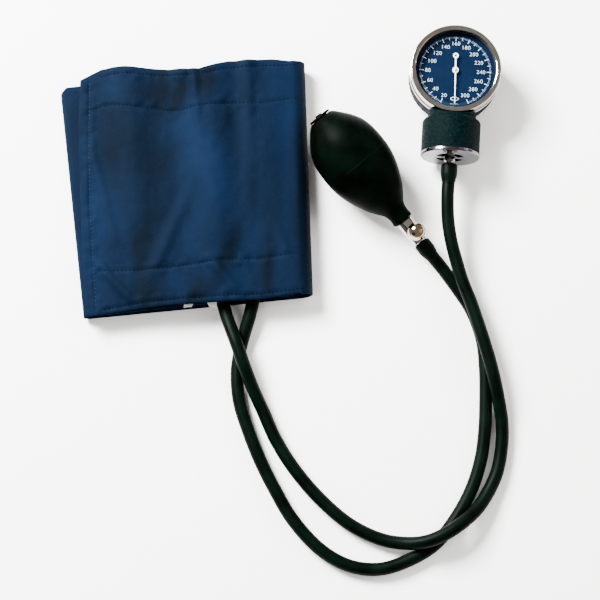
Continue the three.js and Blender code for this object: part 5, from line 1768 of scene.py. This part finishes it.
@dataclass(frozen=True)
class Card:
    """A square card, its place and size in metres, that only polished surfaces mirror."""

    finish: Finish
    place: Point3
    size: float

    def lay(self) -> Object:
        """Returns:
            The card.
        """
        middle, turn = Vector(self.place), Matrix()
        if middle.length:
            turn = middle.to_track_quat("Z", "Y").to_matrix().to_4x4()
        shape = bmesh.new()
        place = Matrix.Translation(middle) @ turn
        bmesh.ops.create_grid(shape, x_segments=1, y_segments=1, size=self.size / 2, matrix=place)
        return placed(shape, self.finish.name, self.finish)

    def hide(self) -> Object:
        """Lays the card and hides it from all but mirrors.

        Returns:
            The card.
        """
        item = self.lay()
        item.visible_camera = False
        item.visible_diffuse = False
        item.visible_shadow = False
        return item


@dataclass
class Studio:
    """Camera, paper and soft lights, matched to the photograph's view."""

    camera_place: Point3 = (0.0133, -0.2678, 0.9816)
    camera_tilt: float = 11.0
    lens: float = 97.4
    sensor: float = 36.0
    sky_colour: Colour = (1.0, 0.94, 0.88)
    sky_strength: float = 0.38
    paper: Card = Card(PAPER, (0.0, 0.0, 0.0), 2.4)
    lights: tuple[Softbox, ...] = (
        Softbox("key_light", (-0.8, 0.7, 1.0), 0.6, 240, (1.0, 0.995, 0.98)),
        Softbox("rim_light", (1.2, 0.1, 0.7), 0.5, 12, (1.0, 0.98, 0.95)),
        Softbox("left_fill", (-0.9, -0.9, 1.2), 1.2, 22, (1.0, 0.99, 0.97), False),
        Softbox("right_fill", (1.0, 0.5, 1.2), 1.2, 24, (1.0, 0.99, 0.97), False),
    )
    cards: tuple[Card, ...] = (
        Card(DARK_CARD, (-0.62, -0.66, 0.55), 0.75), Card(WARM_CARD, (0.95, -0.1, 0.7), 0.8),
    )

    def camera(self) -> Object:
        """Returns:
            The camera.
        """
        data = bpy.data.cameras.new("photo_camera")
        data.lens = self.lens
        data.sensor_width = self.sensor
        item = linked("photo_camera", data)
        item.location = self.camera_place
        item.rotation_euler = (math.radians(self.camera_tilt), 0, 0)
        bpy.context.scene.camera = item
        return item

    def build(self) -> None:
        """Lays the paper, hangs the lights and fills the room with a pale, even light."""
        paper = self.paper.lay()
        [light.hang() for light in self.lights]
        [card.hide() for card in self.cards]
        world = bpy.data.worlds.new("studio_room")
        world.use_nodes = True
        background = world.node_tree.nodes["Background"]
        background.inputs["Color"].default_value = (*self.sky_colour, 1)
        background.inputs["Strength"].default_value = self.sky_strength
        bpy.context.scene.world = world


GAUGE_ROUTE: tuple[Point3, ...] = (
    (-47.0, -3.6, 7.5), (-44.6, -12.0, 8.2), (-41.6, -20.6, 10.6), (-38.1, -30.1, 12.5),
    (-33.9, -42.2, 11.9), (-28.2, -56.7, 7.4), (-22.7, -68.7, 4.9), (-14.5, -86.9, 4.2),
    (-3.0, -104.9, 4.2), (12.6, -122.9, 4.2), (29.9, -137.4, 4.2), (47.7, -146.0, 4.6),
    (62.0, -148.6, 6.8), (74.0, -148.0, 11.2), (84.6, -144.1, 13.0), (94.9, -137.8, 12.2),
    (105.3, -128.7, 8.2), (113.4, -116.9, 5.1), (118.8, -104.9, 4.2), (121.9, -86.9, 4.4),
    (121.8, -74.8, 5.4), (119.9, -63.1, 8.4), (117.4, -51.3, 11.2), (114.5, -39.3, 12.5),
    (111.1, -27.1, 12.8), (107.4, -14.8, 12.8), (103.4, -2.4, 12.8), (98.8, 10.0, 12.8),
    (95.3, 22.3, 13.4), (92.3, 34.6, 14.6), (90.6, 46.8, 16.0),
)
BULB_ROUTE: tuple[Point3, ...] = (
    (-31.0, -12.0, 6.3), (-34.2, -22.6, 4.7), *((x, y, 4.2) for x, y in (
        (-36.6, -32.4), (-38.3, -45.4), (-37.0, -62.6), (-31.4, -80.8), (-24.1, -98.9), (-15.0, -116.9),
        (-4.2, -134.8), (12.5, -152.5), (29.7, -161.9), (47.6, -163.7), (65.5, -158.1), (80.5, -149.0),
        (92.4, -134.8), (102.6, -116.9), (108.7, -98.9), (111.5, -80.8), (112.5, -62.6), (112.7, -44.2),
        (111.1, -25.7), (104.8, -7.0), (97.1, 5.5),
    )),
)


@dataclass
class Kit:
    bulb_aim: Vector = field(default_factory=lambda: Vector((0.632554, -0.746089, -0.207912)))
    bulb_up: Vector = field(default_factory=lambda: Vector((0.134453, -0.158586, 0.978148)))
    bulb_start: Vector = field(default_factory=lambda: on_table(12.5, 107.2, 29.7918))
    screw_station: float = 90.1
    gauge_end_station: float = 57.8
    bulb_end_station: float = 97.6
    gauge_hose: Hose = field(default_factory=lambda: Hose(
        "gauge_tube", (-49.327, 5.309, 7.6), (0.2419, -0.9703, 0), GAUGE_ROUTE,
        (90.924, 69.370, 17.75), (-0.06976, -0.99756, 0), 0.461,
    ))
    bulb_hose: Hose = field(default_factory=lambda: Hose(
        "bulb_tube", (-26.962, 5.907, 7.6), (-0.2079, -0.9781, 0), BULB_ROUTE,
        (81.891, 25.354, 6.984), (0.63255, -0.74609, -0.20791), 0.440,
    ))

    def bulb_place(self) -> Matrix:
        """Gives the place of the bulb and its valve, their Z from the mouth to the tube."""
        return axes(self.bulb_start, self.bulb_aim, self.bulb_up)

    def screw_place(self) -> Matrix:
        """Gives the place of the thumb screw, its Z up from the valve's middle."""
        origin = self.bulb_start + self.bulb_aim * self.screw_station * MM
        return axes(origin, self.bulb_up, self.bulb_aim)

    def hoses(self, neck: Matrix) -> None:
        """Lays both tubes from the bladder to their fittings.

        Args:
            neck: place of the gauge's neck, which one of them goes to.
        """
        gauge_end = HoseEnd("gauge_tube_end", neck, self.gauge_end_station).build()
        bulb_end = HoseEnd("bulb_tube_end", self.bulb_place(), self.bulb_end_station).build()
        self.gauge_hose.build(gauge_end)
        self.bulb_hose.build(bulb_end)


def main() -> None:
    """Builds the tubes, the cuff, the bulb, the gauge and the studio in turn."""
    logging.basicConfig(level=logging.INFO, format="%(name)s: %(message)s")
    studio, kit, gauge, plan = Studio(), Kit(), Gauge(), CuffPlan()
    studio.camera()
    kit.hoses(gauge.neck())
    sewn = CuffTapes(plan).build()
    CuffRoll(plan).build(sewn)
    CuffCover(plan).build()
    Bladder(plan).build()
    Bulb(kit.bulb_place()).build()
    ReleaseValve(kit.screw_place()).build()
    gauge.build()
    Works().build()
    studio.build()


if __name__ == "__main__":
    main()
